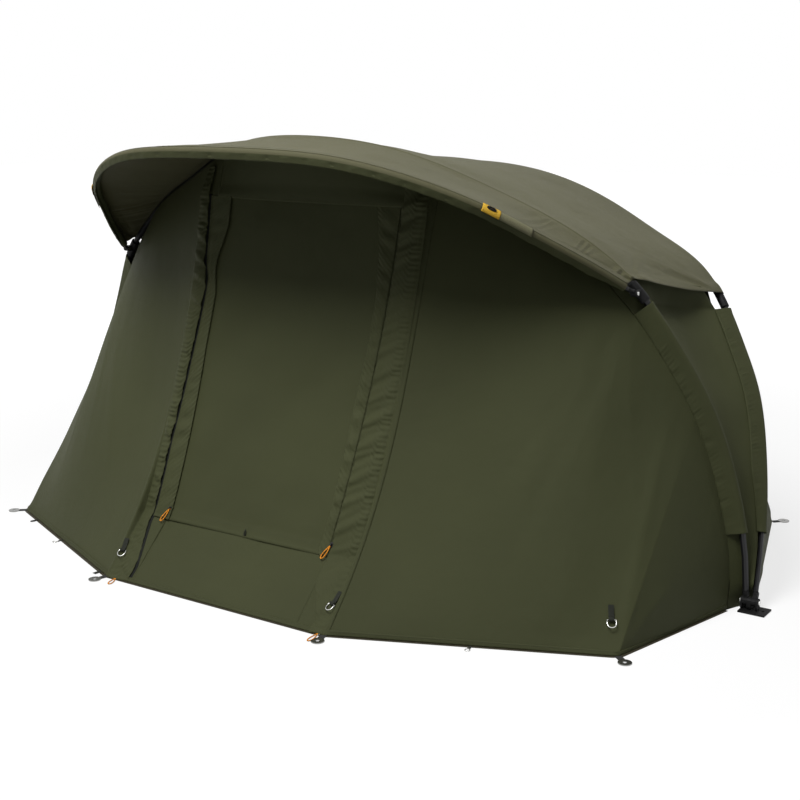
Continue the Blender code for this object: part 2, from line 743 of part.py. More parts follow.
DOOR_TOP_HEIGHT = FRONT_HEIGHT - HEADER_DEPTH
HEM_HEIGHT = HEM_LIFT + CLOTH / 2
DOOR_TOP = np.array((-DOOR_TOP_REACH, DOOR_TOP_HEIGHT))
DOOR_FOOT = np.array((-SKIRT_REACH, SKIRT_HEIGHT))
DOOR_CHORD = np.linalg.norm(DOOR_TOP - DOOR_FOOT)
DOOR_RADIUS = DOOR_CHORD ** 2 / (8 * DOOR_SAG) + DOOR_SAG / 2
DOOR_UP = (DOOR_TOP - DOOR_FOOT) / DOOR_CHORD
DOOR_OUT = np.array((-DOOR_UP[1], DOOR_UP[0]))
DOOR_CENTRE = (DOOR_TOP + DOOR_FOOT) / 2 + DOOR_OUT * (DOOR_RADIUS - DOOR_SAG)


def door_face(height):
    """How far back the door's face is at a height: an arc between its top and its foot."""
    rise = height - DOOR_CENTRE[1]
    return DOOR_CENTRE[0] + math.sqrt(DOOR_RADIUS ** 2 - rise ** 2)


def hem_corner_line():
    """The front hem from the middle of the door round to the hub, as places along it."""
    tail = FRONT_TAIL_AIM * POCKET_TAIL
    return [np.array((0.0, -DOOR_FOOT_REACH, HEM_HEIGHT)),
            np.array((DOOR_FOOT_HALF_WIDTH, -DOOR_FOOT_REACH, HEM_HEIGHT)),
            np.array((CORNER_HALF_WIDTH, -CORNER_REACH, HEM_HEIGHT)),
            np.array((HUB_HALF_SPAN + tail[0], tail[1], HEM_HEIGHT))]


def top_edge(place):
    """Where the front wall is sewn to the rib: to the arch's front, or to a pocket's edge."""
    centre = FRONT.at(place)
    low = FRONT.square(place, FRONT_TAIL_AIM) * (POCKET_TAIL + FIT + CLOTH / 2)
    high = np.array((0.0, -1.0, 0.0)) * (FRONT_POLE_RADIUS + FIT * 2 + CLOTH / 2)
    lift = ease(place, FRONT_KNUCKLE + KNUCKLE_HALF_LENGTH, FRONT_KNUCKLE + CANOPY_START * 3)
    reach = np.linalg.norm(low) * (1 - lift) + np.linalg.norm(high) * lift
    return centre + unit(low * (1 - lift) + high * lift) * reach


def hem_point(corner):
    line = hem_corner_line()
    index = min(int(corner), len(line) - 2)
    share = corner - index
    return line[index] * (1 - share) + line[index + 1] * share


def wall_ruling(share, corner, heights):
    """Points of the front wall from the hem up to the rib; heights are shares of the way."""
    foot = hem_point(corner)
    head = top_edge(share * FRONT.length)
    chord = head - foot
    size = np.linalg.norm(chord)
    inward = unit((0.0, abs(chord[2]), -chord[1]))
    slack = 1 - ease(corner, *SLACK_CORNERS)
    points = []
    for way in heights:
        bow = SIDE_BOW * size * slack * bow_share(way)
        points.append(foot + chord * way + inward * bow)
    return points


def bow_share(way):
    """0 at both ends and 1 at its fullest, which lies below the middle."""
    fullest = 1 / (1 + BOW_POWER)
    return way * (1 - way) ** BOW_POWER / (fullest * (1 - fullest) ** BOW_POWER)


def wall_span(span):
    """A ruling of a front panel, counted from the storm flap round to the hub."""
    index = min(int(span), len(RULING_SHARES) - 3)
    part = span - index
    low, high = np.array(RULING_SHARES[index + 1]), np.array(RULING_SHARES[index + 2])
    if index == 0:
        low[0] = FLAP_SHARE
    return low * (1 - part) + high * part


def door_edge_top():
    """The rib's share at the outer edge of the storm flaps."""
    places = np.linspace(FRONT_KNUCKLE, FRONT.length, 200)
    widths = [FRONT.at(place)[0] for place in places]
    return float(np.interp(-FLAP_HALF_WIDTH, [-w for w in widths], places)) / FRONT.length


FLAP_SHARE = door_edge_top()
FLAP_FOOT = hem_point(1.0)
FLAP_HEAD = top_edge(FLAP_SHARE * FRONT.length)


def flap_bow():
    """The side panels' bow, so that it meets the door's face at the storm flap."""
    way = 1 / (1 + BOW_POWER)
    level = FLAP_FOOT[2] + (FLAP_HEAD[2] - FLAP_FOOT[2]) * way
    chord_y = FLAP_FOOT[1] + (FLAP_HEAD[1] - FLAP_FOOT[1]) * way
    size = np.linalg.norm(FLAP_HEAD - FLAP_FOOT)
    lean = (FLAP_HEAD[2] - FLAP_FOOT[2]) / size
    return (door_face(level) - chord_y) * lean / size


SIDE_BOW = flap_bow()


def zip_half_width(height):
    """Half the width between the zips at a height; straight lines up from the door's foot."""
    rise = (height - SKIRT_HEIGHT) / (DOOR_TOP_HEIGHT - SKIRT_HEIGHT)
    return ZIP_FOOT_HALF_WIDTH + (ZIP_TOP_HALF_WIDTH - ZIP_FOOT_HALF_WIDTH) * min(max(rise, 0.0), 1.0)


def door_zone_levels():
    """Heights of the wall's rows beside the door, from the hem to just under the rib."""
    skirt = np.linspace(HEM_HEIGHT, SKIRT_HEIGHT, SKIRT_ROWS + 1)
    door = np.linspace(SKIRT_HEIGHT, DOOR_TOP_HEIGHT, DOOR_ROWS + 1)[1:]
    return list(skirt) + list(door)


def door_zone_point(x, height):
    """The wall beside and below the door, up to the door's top."""
    if height >= SKIRT_HEIGHT:
        return np.array((x, door_face(height), height))
    way = (height - HEM_HEIGHT) / (SKIRT_HEIGHT - HEM_HEIGHT)
    reach = DOOR_FOOT_REACH + (SKIRT_REACH - DOOR_FOOT_REACH) * way
    return np.array((x, -reach, height))


def header_point(x, way):
    """The wall above the door: from the door's top line up to the rib."""
    low = np.array((x, -DOOR_TOP_REACH, DOOR_TOP_HEIGHT))
    places = np.linspace(FRONT_KNUCKLE, FRONT.length, 300)
    widths = -np.array([FRONT.at(place)[0] for place in places])
    place = float(np.interp(-abs(x), widths, places))
    high = top_edge(place)
    high = np.array((x, high[1], high[2]))
    return low + (high - low) * way


def door_panels():
    """The door, the skirt under it and the header over it."""
    edge = ZIP_WIDTH / 2 + SEAM
    columns = np.linspace(-1, 1, 9)
    rows = []
    for height in np.linspace(SKIRT_HEIGHT + SEAM, DOOR_TOP_HEIGHT - SEAM, DOOR_ROWS + 1):
        half = zip_half_width(height) - edge
        rows.append([door_zone_point(half * c, height) for c in columns])
    sheet("door_panel", rows, "door", WALL_CLOTH)
    rows = []
    for height in np.linspace(HEM_HEIGHT, SKIRT_HEIGHT - SEAM, SKIRT_ROWS + 1):
        half = zip_half_width(SKIRT_HEIGHT) + ZIP_WIDTH / 2 - SEAM
        rows.append([door_zone_point(half * c, height) for c in columns])
    sheet("door_skirt", rows, "front_rib", WALL_CLOTH)
    rows = []
    for way in np.linspace(0, 1, HEADER_ROWS + 1):
        half = ZIP_TOP_HALF_WIDTH + ZIP_WIDTH / 2 - SEAM
        start = SEAM / HEADER_DEPTH
        rows.append([header_point(half * c, start + (1 - start) * way) for c in np.linspace(-1, 1, 13)])
    sheet("door_header", rows, "front_rib", WALL_CLOTH)


def flap_point(share, height):
    """A point of the storm flap: share 0 at the zip, 1 at the flap's outer edge."""
    inner = zip_half_width(height) + ZIP_WIDTH / 2 + SEAM
    rise = min(height / DOOR_TOP_HEIGHT, 1.0)
    outer = DOOR_FOOT_HALF_WIDTH + (FLAP_HALF_WIDTH - DOOR_FOOT_HALF_WIDTH) * rise
    puff = 0.0
    if share > 0:
        puff = FLAP_PUFF * ease(height, SKIRT_HEIGHT, SKIRT_HEIGHT + FLAP_EASE)
    return door_zone_point(inner + (outer - inner) * share, height) - (0.0, puff, 0.0)


def side_wall(label, side):
    """A front panel, from the zip round the corner peg to the front rib."""
    levels = door_zone_levels()
    inner_columns = []
    for share in FLAP_COLUMN_SHARES:
        column = [flap_point(share, height) for height in levels]
        top_x = ZIP_TOP_HALF_WIDTH + ZIP_WIDTH / 2 + SEAM
        top_x = top_x + (FLAP_HALF_WIDTH - top_x) * share
        for way in np.linspace(0, 1, HEADER_ROWS + 1)[1:]:
            column.append(header_point(top_x, way))
        inner_columns.append(column)
    # Ways up each ruling, so that the rows run on from the door's rows
    flap = []
    for height in levels:
        flap.append((height - FLAP_FOOT[2]) / (FLAP_HEAD[2] - FLAP_FOOT[2]))
    header_start = flap[-1]
    ways = flap + [header_start + (1 - header_start) * w for w in np.linspace(0, 1, HEADER_ROWS + 1)[1:]]
    outer_columns = [wall_ruling(*wall_span(span), ways)
                     for span in np.linspace(0, len(RULING_SHARES) - 2, SIDE_STEPS)]
    columns = inner_columns + outer_columns
    rows = [[column[r] * (side, 1, 1) for column in columns] for r in range(len(ways))]
    sheet("front_panel_" + label, rows, "front_rib", WALL_CLOTH)


def zip_chain(label, side):
    rows = []
    for height in np.linspace(SKIRT_HEIGHT, DOOR_TOP_HEIGHT, 2 * DOOR_ROWS + 1):
        middle = zip_half_width(height)
        row = [door_zone_point((middle + offset) * side, height)
               for offset in (-ZIP_WIDTH / 2, ZIP_WIDTH / 2)]
        rows.append(row)
    sheet("zip_chain_" + label, rows, "front_rib", BLACK_PLASTIC)


pivot("door", (0.0, -DOOR_TOP_REACH - CLOTH / 2, DOOR_TOP_HEIGHT), "front_rib")
door_panels()
for label, side in SIDES:
    side_wall(label, side)
    zip_chain(label, side)


# Roof, hood, side panels and rear wall

def ridge_pair(near, near_place, near_radius, far, far_place, far_radius):
    """A straight line of fabric that lies on two poles, from the top of one to the other."""
    start = near.at(near_place)
    end = far.at(far_place)
    run = unit(end - start)
    points = []
    for rib, place, radius, centre in ((near, near_place, near_radius, start),
                                       (far, far_place, far_radius, end)):
        out = rib.outward(place)
        lift = unit(out - run * (out @ run))
        points.append(centre + lift * (radius + FIT * 2 + CLOTH / 2))
    return points[0], points[1], run


def canopy(name, near, near_start, near_radius, far, far_start, far_radius, sag, rows_count, gap,
           body):
    """Fabric between two arches, from one side hem over the top to the other."""
    half = np.linspace(0, 1, ARCH_STEPS)
    columns = []
    for share in half:
        near_place = near_start + (near.length - near_start) * share
        far_place = far_start + (far.length - far_start) * share
        start, end, run = ridge_pair(near, near_place, near_radius, far, far_place, far_radius)
        start = start + run * gap
        out = near.outward(near_place)
        column = []
        for way in np.linspace(0, 1, rows_count):
            column.append(start + (end - start) * way - out * sag * 4 * way * (1 - way))
        columns.append(column)
    mirrored = [[point * (-1, 1, 1) for point in column] for column in columns[-2::-1]]
    columns = columns + mirrored
    rows = [[column[r] for column in columns] for r in range(rows_count)]
    sheet(name, rows, body, ROOF_CLOTH)


canopy("roof_canopy", FRONT, FRONT_KNUCKLE + CANOPY_START, FRONT_POLE_RADIUS,
       REAR, REAR_KNUCKLE + REAR_CANOPY_START, REAR_POLE_RADIUS, ROOF_SAG, ROOF_ROWS,
       RIDGE_GAP, "rear_rib")
canopy("hood_canopy", FRONT, FRONT_KNUCKLE + CANOPY_START, FRONT_POLE_RADIUS - HOOD_SEAT,
       PEAK, RIM_START, RIM_RADIUS, HOOD_SAG, HOOD_ROWS, RIDGE_GAP, "front_rib")


def rim():
    """The rolled rim of the hood: a round pocket along the peak pole."""
    rings = section_rings(PEAK, RIM_PLACES, circle(RIM_RADIUS, 8), 1, PEAK.outward)
    left = [[point * (-1, 1, 1) for point in ring] for ring in rings[-2::-1]]
    mesh = rings_mesh("rim_sleeve", rings + left, capped=False)
    smooth(mesh)
    skin = add("rim_sleeve", mesh, "peak_rib", ROOF_CLOTH)
    set_origin(skin, (0.0, PEAK_PIVOT[1], PEAK_PIVOT[2]))
    wall = skin.modifiers.new("cloth", "SOLIDIFY")
    wall.thickness = POCKET_CLOTH
    wall.offset = -1.0
    wall.use_even_offset = True


rim()


def side_panel(label, side):
    """The gusset between the ribs, set in behind the front pocket."""
    rows = []
    behind = np.array((FRONT_TAIL_AIM[1], -FRONT_TAIL_AIM[0], 0.0))
    for share in np.linspace(0, 1, LOWER_STEPS + 2):
        front_place = GUSSET_FOOT + (FRONT_POCKET_END - GUSSET_FOOT) * share
        rear_place = GUSSET_FOOT + (REAR_POCKET_END - GUSSET_FOOT) * share
        front = FRONT.at(front_place)
        rear = REAR.at(rear_place)
        near = front + FRONT.square(front_place, behind) * (POCKET_RADIUS + SEAM + CLOTH / 2)
        gap = np.linalg.norm(rear - front)
        reach = min(POCKET_TAIL + CLOTH / 2, gap * GUSSET_SHARE)
        far = rear + REAR.square(rear_place, REAR_TAIL_AIM) * reach
        dip = (far - near)[1] * GUSSET_DIP_SHARE
        row = [near + (far - near) * way - (dip * 4 * way * (1 - way), 0.0, 0.0)
               for way in np.linspace(0, 1, GUSSET_COLUMNS)]
        rows.append([point * (side, 1, 1) for point in row])
    sheet("side_panel_" + label, rows, "rear_rib", WALL_CLOTH)


def rear_hem_point(corner):
    line = [np.array((HUB_HALF_SPAN + REAR_OUTSET - POCKET_RADIUS, FOOT_HALF_DEPTH + POCKET_RADIUS,
                      HEM_HEIGHT)),
            np.array((REAR_CORNER_HALF_WIDTH, REAR_CORNER_REACH, HEM_HEIGHT)),
            np.array((REAR_MIDDLE_HALF_WIDTH, REAR_DEPTH, HEM_HEIGHT)),
            np.array((0.0, REAR_DEPTH, HEM_HEIGHT))]
    index = min(int(corner), len(line) - 2)
    share = corner - index
    return line[index] * (1 - share) + line[index + 1] * share


def rear_wall():
    """The back of the tent, from hub to hub, sewn to the back of the rear rib."""
    shares = np.array(REAR_RULING_SHARES)
    columns = []
    for span in np.linspace(0, len(shares) - 1, ARCH_STEPS):
        index = min(int(span), len(shares) - 2)
        part = span - index
        share, corner = shares[index] * (1 - part) + shares[index + 1] * part
        place = share * REAR.length
        foot = rear_hem_point(corner)
        knuckle_top = REAR_KNUCKLE + KNUCKLE_HALF_LENGTH
        lift = ease(place, knuckle_top, knuckle_top + CANOPY_START)
        flat = POCKET_FLAT * (1 - ease(place, REAR_POCKET_END * POCKET_FLAT_SHARE, REAR_POCKET_END))
        reach = (POCKET_RADIUS - flat) * (1 - lift) + REAR_POLE_RADIUS * lift + SEAM + CLOTH / 2
        head = REAR.at(place) + np.array((0.0, math.cos(REAR_ANGLE), -math.sin(REAR_ANGLE))) * reach
        chord = head - foot
        bow = REAR_SAG * np.linalg.norm(chord) / (FRONT_HEIGHT - HUB_HEIGHT)
        columns.append([foot + chord * way - (0.0, bow * bow_share(way), 0.0)
                        for way in np.linspace(0, 1, REAR_ROWS)])
    mirrored = [[point * (-1, 1, 1) for point in column] for column in columns[-2::-1]]
    columns = columns + mirrored
    rows = [[column[r] for column in columns] for r in range(REAR_ROWS)]
    sheet("rear_wall", rows, None, WALL_CLOTH)


for label, side in SIDES:
    side_panel(label, side)
rear_wall()


def groundsheet():
    """A flat sheet inside the hem."""
    corners = [hem_corner_line()[1], hem_corner_line()[2], hem_corner_line()[3],
               rear_hem_point(0), rear_hem_point(1), rear_hem_point(2)]
    hub_limit = HUB_HALF_SPAN - EYE_WIDTH / 2 - EAR - GROUNDSHEET_INSET
    right = []
    for corner in corners:
        flat = np.array(corner[:2])
        inset = flat * (1 - GROUNDSHEET_INSET / np.linalg.norm(flat))
        right.append((min(inset[0], hub_limit), inset[1]))
    outline = right + [(-x, y) for x, y in right[::-1]]
    curve = bpy.data.curves.new("groundsheet", "CURVE")
    curve.dimensions = "2D"
    curve.fill_mode = "BOTH"
    curve.extrude = GROUNDSHEET_THICKNESS / 2
    line = curve.splines.new("POLY")
    line.points.add(len(outline) - 1)
    for knot, (x, y) in zip(line.points, outline):
        knot.co = (x, y, 0.0, 1.0)
    line.use_cyclic_u = True
    floor = add("groundsheet", curve, None, SHEETING)
    floor.location = (0.0, 0.0, GROUNDSHEET_THICKNESS / 2)


groundsheet()


# Pegging eyelets on the hem

def peg_point(name, corner, outward, body, start=TAB_START):
    """A webbing tab with a pressed eyelet, flat on the ground."""
    corner = np.array((corner[0], corner[1], 0.0))
    outward = unit((outward[0], outward[1], 0.0))
    disc_centre = corner + outward * TAB_LENGTH
    lift = HEM_LIFT
    disc = cylinder(name, EYELET_RADIUS, EYELET_THICKNESS,
                    disc_centre + (0, 0, lift + EYELET_THICKNESS / 2), (0, 0, 1), body, STEEL,
                    count=18)
    tab = box(name + "_tab", (start, -TAB_WIDTH / 2, lift),
              (TAB_LENGTH, TAB_WIDTH / 2, lift + TAB_THICKNESS), None, None, cutters)
    tab.rotation_euler = (0, 0, math.atan2(outward[1], outward[0]))
    middle = corner + outward * (start + TAB_LENGTH) / 2
    tab.location = Vector((middle[0], middle[1], lift + TAB_THICKNESS / 2))
    hole = cylinder(name + "_hole", EYELET_HOLE_RADIUS, EYELET_THICKNESS * 4,
                    disc_centre + (0, 0, lift), (0, 0, 1), None, None, cutters)
    join_or_cut(disc, tab, "UNION")
    join_or_cut(disc, hole, "DIFFERENCE")


FRONT_HEM = hem_corner_line()
for label, side in SIDES:
    mirror = np.array((side, 1, 1))
    peg_point("peg_point_door_" + label, FRONT_HEM[1] * mirror,
              DOOR_PEG_SHARES * mirror[:2], "front_rib")
    peg_point("peg_point_corner_" + label, FRONT_HEM[2] * mirror,
              CORNER_PEG_SHARES * mirror[:2], "front_rib", 0.0)
    peg_point("peg_point_rear_" + label, rear_hem_point(1) * mirror,
              REAR_PEG_SHARES * mirror[:2], None)
peg_point("peg_point_rear_middle", rear_hem_point(3), (0.0, 1.0), None)


# Zip sliders and their pulls

def bail(name, width, length, wire, matrix, body, paint, steps=10):
    """A closed loop with a straight bar: the bar lies on the local X axis, the loop hangs to -Y."""
    arc = width / 2
    points = [Vector((-width / 2, 0, 0)), Vector((0, 0, 0)), Vector((width / 2, 0, 0))]
    for i in range(steps + 1):
        angle = -math.pi * i / steps
        points.append(Vector((arc * math.cos(angle), -(length - arc) + arc * math.sin(angle), 0)))
    points = [matrix @ point for point in points]
    return tube(name, points, wire, body, paint, sides=1, loop=True)


def wall_frame(point, across, normal):
    """A frame on the wall: X across it, Y up it and Z out of it."""
    across = unit(across)
    normal = unit(normal - across * (normal @ across))
    up = np.cross(normal, across)
    frame = Matrix((across, up, normal)).transposed().to_4x4()
    frame.translation = Vector(point)
    return frame


def place_local(thing, frame, body):
    thing.rotation_mode = "QUATERNION"
    thing.rotation_quaternion = frame.to_quaternion()
    thing.location = frame.translation
    attach(thing, body)


for label, side in SIDES:
    height = SKIRT_HEIGHT + ZIP_END
    low = door_zone_point(zip_half_width(height), height)
    mirror = np.array((side, 1, 1))
    rise = np.array((0.0, door_face(height + ZIP_END) - door_face(height - ZIP_END), 2 * ZIP_END))
    across = np.array((1.0, 0.0, 0.0))
    normal = np.cross(across, unit(rise))
    normal = normal if normal[1] < 0 else -normal
    face = wall_frame(low * mirror, across, normal)
    body = "zip_slider_" + label
    pivot(body, (0.0, DOOR_CENTRE[0], DOOR_CENTRE[1]), "front_rib")
    base = CLOTH / 2 + SLIDER_LIFT
    slider = box(body, (-ZIP_BODY[0] / 2, -ZIP_BODY[1] / 2, base),
                 (ZIP_BODY[0] / 2, ZIP_BODY[1] / 2, base + ZIP_BODY[2]), None, BLACK_METAL)
    slider.data.transform(Matrix.Translation(slider.location))
    place_local(slider, face, body)
    lug_height = base + ZIP_BODY[2] + LUG_RADIUS / 2
    lug = link_plate(body + "_lug", (0, 0, base + LUG_RADIUS + FIT), (0, 0, lug_height), LUG_RADIUS,
                     -LUG_WIDTH / 2, LUG_WIDTH / 2, None, None, cutters)
    lug.matrix_world = face
    eye = cylinder(body + "_eye", PULL_WIRE * PULL_EYE_SHARE, LUG_WIDTH * 3, (0, 0, 0), (1, 0, 0),
                   None, None, cutters, 14)
    eye.matrix_world = face @ Matrix.Translation((0, 0, lug_height)) @ Matrix.Rotation(
        math.pi / 2, 4, "Y")
    join_or_cut(slider, lug, "UNION")
    join_or_cut(slider, eye, "DIFFERENCE")
    hinge = face @ Matrix.Translation((0, 0, lug_height)) @ Matrix.Rotation(-PULL_TILT, 4, "X")
    pull_body = "zip_pull_" + label
    pivot(pull_body, hinge.translation, body)
    bail(pull_body, PULL_WIDTH, PULL_LENGTH, PULL_WIRE, hinge, pull_body, ORANGE_CORD)


# Straps and rings on the front wall

def ruling_point(span, height):
    """A point of the right front panel at a height."""
    points = np.array(wall_ruling(*wall_span(span), np.linspace(0, 1, 60)))
    return np.array([np.interp(height, points[:, 2], points[:, k]) for k in range(3)])


def panel_place(left, right, level):
    """A strap's lower end midway between two columns, its normal and its level direction."""
    here = (left(level) + right(level)) / 2
    beside = right(level) - left(level)
    up = (left(level + STRAP_LENGTH) + right(level + STRAP_LENGTH)) / 2 - here
    return here, unit(np.cross(beside, up)), beside


def ring_on_strap(label, side, lift, place, normal, across):
    mirror = np.array((side, 1, 1))
    face = wall_frame(place * mirror, across * mirror * side, normal * mirror)
    body = "ring_" + label
    base = CLOTH / 2 + lift
    eye_radius = RING_WIRE * RING_EYE_SHARE
    lug_radius = eye_radius + STRAP_THICKNESS
    hinge_height = base + lug_radius - FIT
    strap = box("strap_" + label, (-STRAP_WIDTH / 2, 0, base),
                (STRAP_WIDTH / 2, STRAP_LENGTH, base + STRAP_THICKNESS), None, WEBBING)
    strap.data.transform(Matrix.Translation(strap.location))
    place_local(strap, face, "front_rib")
    loop = link_plate(f"strap_{label}_loop", (0, 0, hinge_height), (0, STRAP_THICKNESS, hinge_height),
                      lug_radius, -STRAP_WIDTH / 2, STRAP_WIDTH / 2, None, None, cutters)
    loop.matrix_world = face
    eye = cylinder(f"strap_{label}_eye", eye_radius, STRAP_WIDTH * 2, (0, 0, 0), (1, 0, 0), None,
                   None, cutters, 14)
    eye.matrix_world = face @ Matrix.Translation((0, 0, hinge_height)) @ Matrix.Rotation(
        math.pi / 2, 4, "Y")
    join_or_cut(strap, loop, "UNION")
    join_or_cut(strap, eye, "DIFFERENCE")
    hinge = face @ Matrix.Translation((0, 0, hinge_height)) @ Matrix.Rotation(-PULL_TILT, 4, "X")
    pivot(body, hinge.translation, "front_rib")
    bail(body, RING_WIDTH, RING_LENGTH, RING_WIRE, hinge, body, STEEL)


flap_foot = panel_place(lambda height: flap_point(FLAP_COLUMN_SHARES[-1], height),
                        lambda height: ruling_point(0.0, height), FLAP_RING_LEVEL)
corner_foot = panel_place(lambda height: ruling_point(CORNER_RING_SHARE - SPAN_STEP_SHARE, height),
                          lambda height: ruling_point(CORNER_RING_SHARE + SPAN_STEP_SHARE, height),
                          CORNER_RING_LEVEL)
ring_on_strap("flap_right", 1, FLAP_STRAP_LIFT, *flap_foot)
ring_on_strap("flap_left", -1, FLAP_STRAP_LIFT, *flap_foot)
ring_on_strap("corner_right", 1, CORNER_STRAP_LIFT, *corner_foot)
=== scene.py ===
# %% [markdown]
# # A bivvy tent's looks
# The tent's solids come in as a fixed frame from CAD. Hubs, poles, knuckles, rings and sliders show
# as they are. The thick cloth solids are stood in for by thin cloth, which is built here on the same
# rib lines and hems. Lengths are in metres, +Z is up and the door faces -Y.

# %% The frame
import json
import math

import bmesh
import bpy
import numpy as np
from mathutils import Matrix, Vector

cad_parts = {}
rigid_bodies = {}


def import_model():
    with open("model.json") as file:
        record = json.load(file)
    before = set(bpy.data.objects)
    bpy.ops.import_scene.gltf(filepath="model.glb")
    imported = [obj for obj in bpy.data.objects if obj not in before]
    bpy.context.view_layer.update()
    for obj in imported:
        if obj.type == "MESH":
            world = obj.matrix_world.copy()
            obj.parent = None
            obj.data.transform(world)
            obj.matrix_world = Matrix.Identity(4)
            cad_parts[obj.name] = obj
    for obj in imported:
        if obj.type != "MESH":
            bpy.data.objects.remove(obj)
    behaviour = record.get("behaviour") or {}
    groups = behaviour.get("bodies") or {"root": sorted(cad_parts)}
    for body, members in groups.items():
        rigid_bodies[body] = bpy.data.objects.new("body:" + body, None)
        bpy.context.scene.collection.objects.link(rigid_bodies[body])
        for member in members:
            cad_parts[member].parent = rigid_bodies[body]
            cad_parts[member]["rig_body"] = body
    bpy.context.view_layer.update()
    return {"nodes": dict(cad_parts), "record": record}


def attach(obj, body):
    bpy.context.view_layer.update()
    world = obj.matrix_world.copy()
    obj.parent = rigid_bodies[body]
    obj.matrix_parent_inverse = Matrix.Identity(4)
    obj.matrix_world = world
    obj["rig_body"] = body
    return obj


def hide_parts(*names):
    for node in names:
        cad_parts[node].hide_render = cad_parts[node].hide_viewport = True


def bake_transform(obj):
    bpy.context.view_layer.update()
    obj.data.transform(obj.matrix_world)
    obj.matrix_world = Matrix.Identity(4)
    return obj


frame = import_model()

FINE = 1.0      # share of the full number of points in a cloth
SIDES = (("right", 1), ("left", -1))
noise = np.random.default_rng(11)

# %% [markdown]
# ## Smooth lines
# A rib is a pole that is bent into an arch. A few points and a natural cubic spline give its line, as
# a bent pole spreads its bending in the same way. A Bezier curve would need handles to be guessed.

# %% A smooth line
def unit(vector):
    vector = np.asarray(vector, float)
    return vector / np.maximum(np.linalg.norm(vector, axis=-1, keepdims=True), 1e-12)


def lengths_along(line):
    """The length from a line's start to each of its points."""
    return np.concatenate([[0.0], np.cumsum(np.linalg.norm(np.diff(line, axis=0), axis=-1))])


def ease(value, low, high):
    """0 below low, 1 above high, and a smooth step between them."""
    t = np.clip((np.asarray(value, float) - low) / (high - low), 0.0, 1.0)
    return t * t * (3 - 2 * t)


def spline(values, count):
    """A natural cubic spline through the points, sampled evenly along its chords."""
    values = np.asarray(values, float)
    knots = lengths_along(values)
    step = np.diff(knots)
    system = np.eye(len(knots))
    load = np.zeros_like(values)
    for i in range(1, len(knots) - 1):
        system[i, i - 1:i + 2] = step[i - 1], 2 * (step[i - 1] + step[i]), step[i]
        load[i] = 6 * (np.diff(values[i:i + 2], axis=0)[0] / step[i]
                       - np.diff(values[i - 1:i + 1], axis=0)[0] / step[i - 1])
    bend = np.linalg.solve(system, load)
    places = np.linspace(knots[0], knots[-1], count)
    span = np.clip(np.searchsorted(knots, places, side="right") - 1, 0, len(step) - 1)
    h = step[span][:, None]
    a = (knots[span + 1] - places)[:, None] / h
    b = 1 - a
    return (a * values[span] + b * values[span + 1]
            + ((a ** 3 - a) * bend[span] + (b ** 3 - b) * bend[span + 1]) * h * h / 6)


print("ease at a quarter:", float(ease(0.25, 0, 1)))

# %% [markdown]
# ## Ribs, read by their length
# Each piece on a rib is placed by its length along the pole, as a maker marks it. The class keeps the
# right half of an arch and gives points, directions and what is square to them, which a curve object
# could also do, but not before the scene is evaluated.

# %% Front and rear ribs
class Rib:
    """The right half of a rib's centre line, read by the length along it from its foot."""

    def __init__(self, points):
        points = np.asarray(points, float)
        mirrored = points[::-1][1:] * (-1, 1, 1)
        self.line = spline(np.vstack([points, mirrored]), 1601)[:801]
        self.along = lengths_along(self.line)
        self.length = float(self.along[-1])

    def at(self, place):
        return np.stack([np.interp(place, self.along, self.line[:, k]) for k in range(3)], axis=-1)

    def tangent(self, place):
        place = np.asarray(place, float)
        small = self.length / len(self.along)
        way = unit(self.at(place + small) - self.at(place - small))
        top = (place >= self.length - small)[..., None]
        return np.where(top, np.array((-1.0, 0.0, 0.0)), way)

    def square(self, place, aim):
        """The direction nearest to aim that is square to the rib."""
        along = self.tangent(place)
        return unit(aim - along * np.sum(along * aim, axis=-1, keepdims=True))

    def outward(self, place):
        """Square to the rib, away from the middle of the tent."""
        back = self.square(place, np.array((0.0, 1.0, 0.0)))
        return unit(np.cross(back, self.tangent(place)))

    def height(self, level):
        return float(np.interp(level, self.line[:, 2], self.along))


HUB_HALF_SPAN = 1.392
HUB_HEIGHT = 0.030
REAR_OUTSET = 0.028
FRONT_HEIGHT = 1.401
FRONT_LEAN = 0.390
REAR_RISE = 1.398
REAR_ANGLE = math.radians(26)
FRONT_RIB_SHARES = ((1.000, 0.000, 0.000), (0.989, 0.000, 0.128), (0.958, 0.008, 0.266),
                    (0.903, 0.051, 0.423), (0.823, 0.154, 0.573), (0.751, 0.262, 0.682),
                    (0.654, 0.346, 0.770), (0.548, 0.474, 0.837), (0.441, 0.577, 0.888),
                    (0.320, 0.731, 0.942), (0.213, 0.859, 0.977), (0.000, 1.000, 1.000))
REAR_RIB_SHARES = ((1.000, 0.000), (0.983, 0.162), (0.948, 0.333), (0.899, 0.479), (0.852, 0.565),
                   (0.783, 0.675), (0.718, 0.749), (0.589, 0.828), (0.469, 0.892), (0.287, 0.964),
                   (0.106, 0.996), (0.000, 1.000))
RISE = FRONT_HEIGHT - HUB_HEIGHT
FRONT = Rib([(x * HUB_HALF_SPAN, -lean * FRONT_LEAN, HUB_HEIGHT + up * RISE)
             for x, lean, up in FRONT_RIB_SHARES])
REAR = Rib([(x * (HUB_HALF_SPAN + REAR_OUTSET), up * REAR_RISE * math.sin(REAR_ANGLE),
             HUB_HEIGHT + up * REAR_RISE * math.cos(REAR_ANGLE)) for x, up in REAR_RIB_SHARES])
print(f"front rib {FRONT.length:.3f} m a side, rear rib {REAR.length:.3f} m")

# %% [markdown]
# ## The rib that carries the hood
# The third pole hinges in the front rib's knuckles and leans over the door. Its line is given in
# shares of its reach, in the plane that it leans in, so that its lean can change by itself.

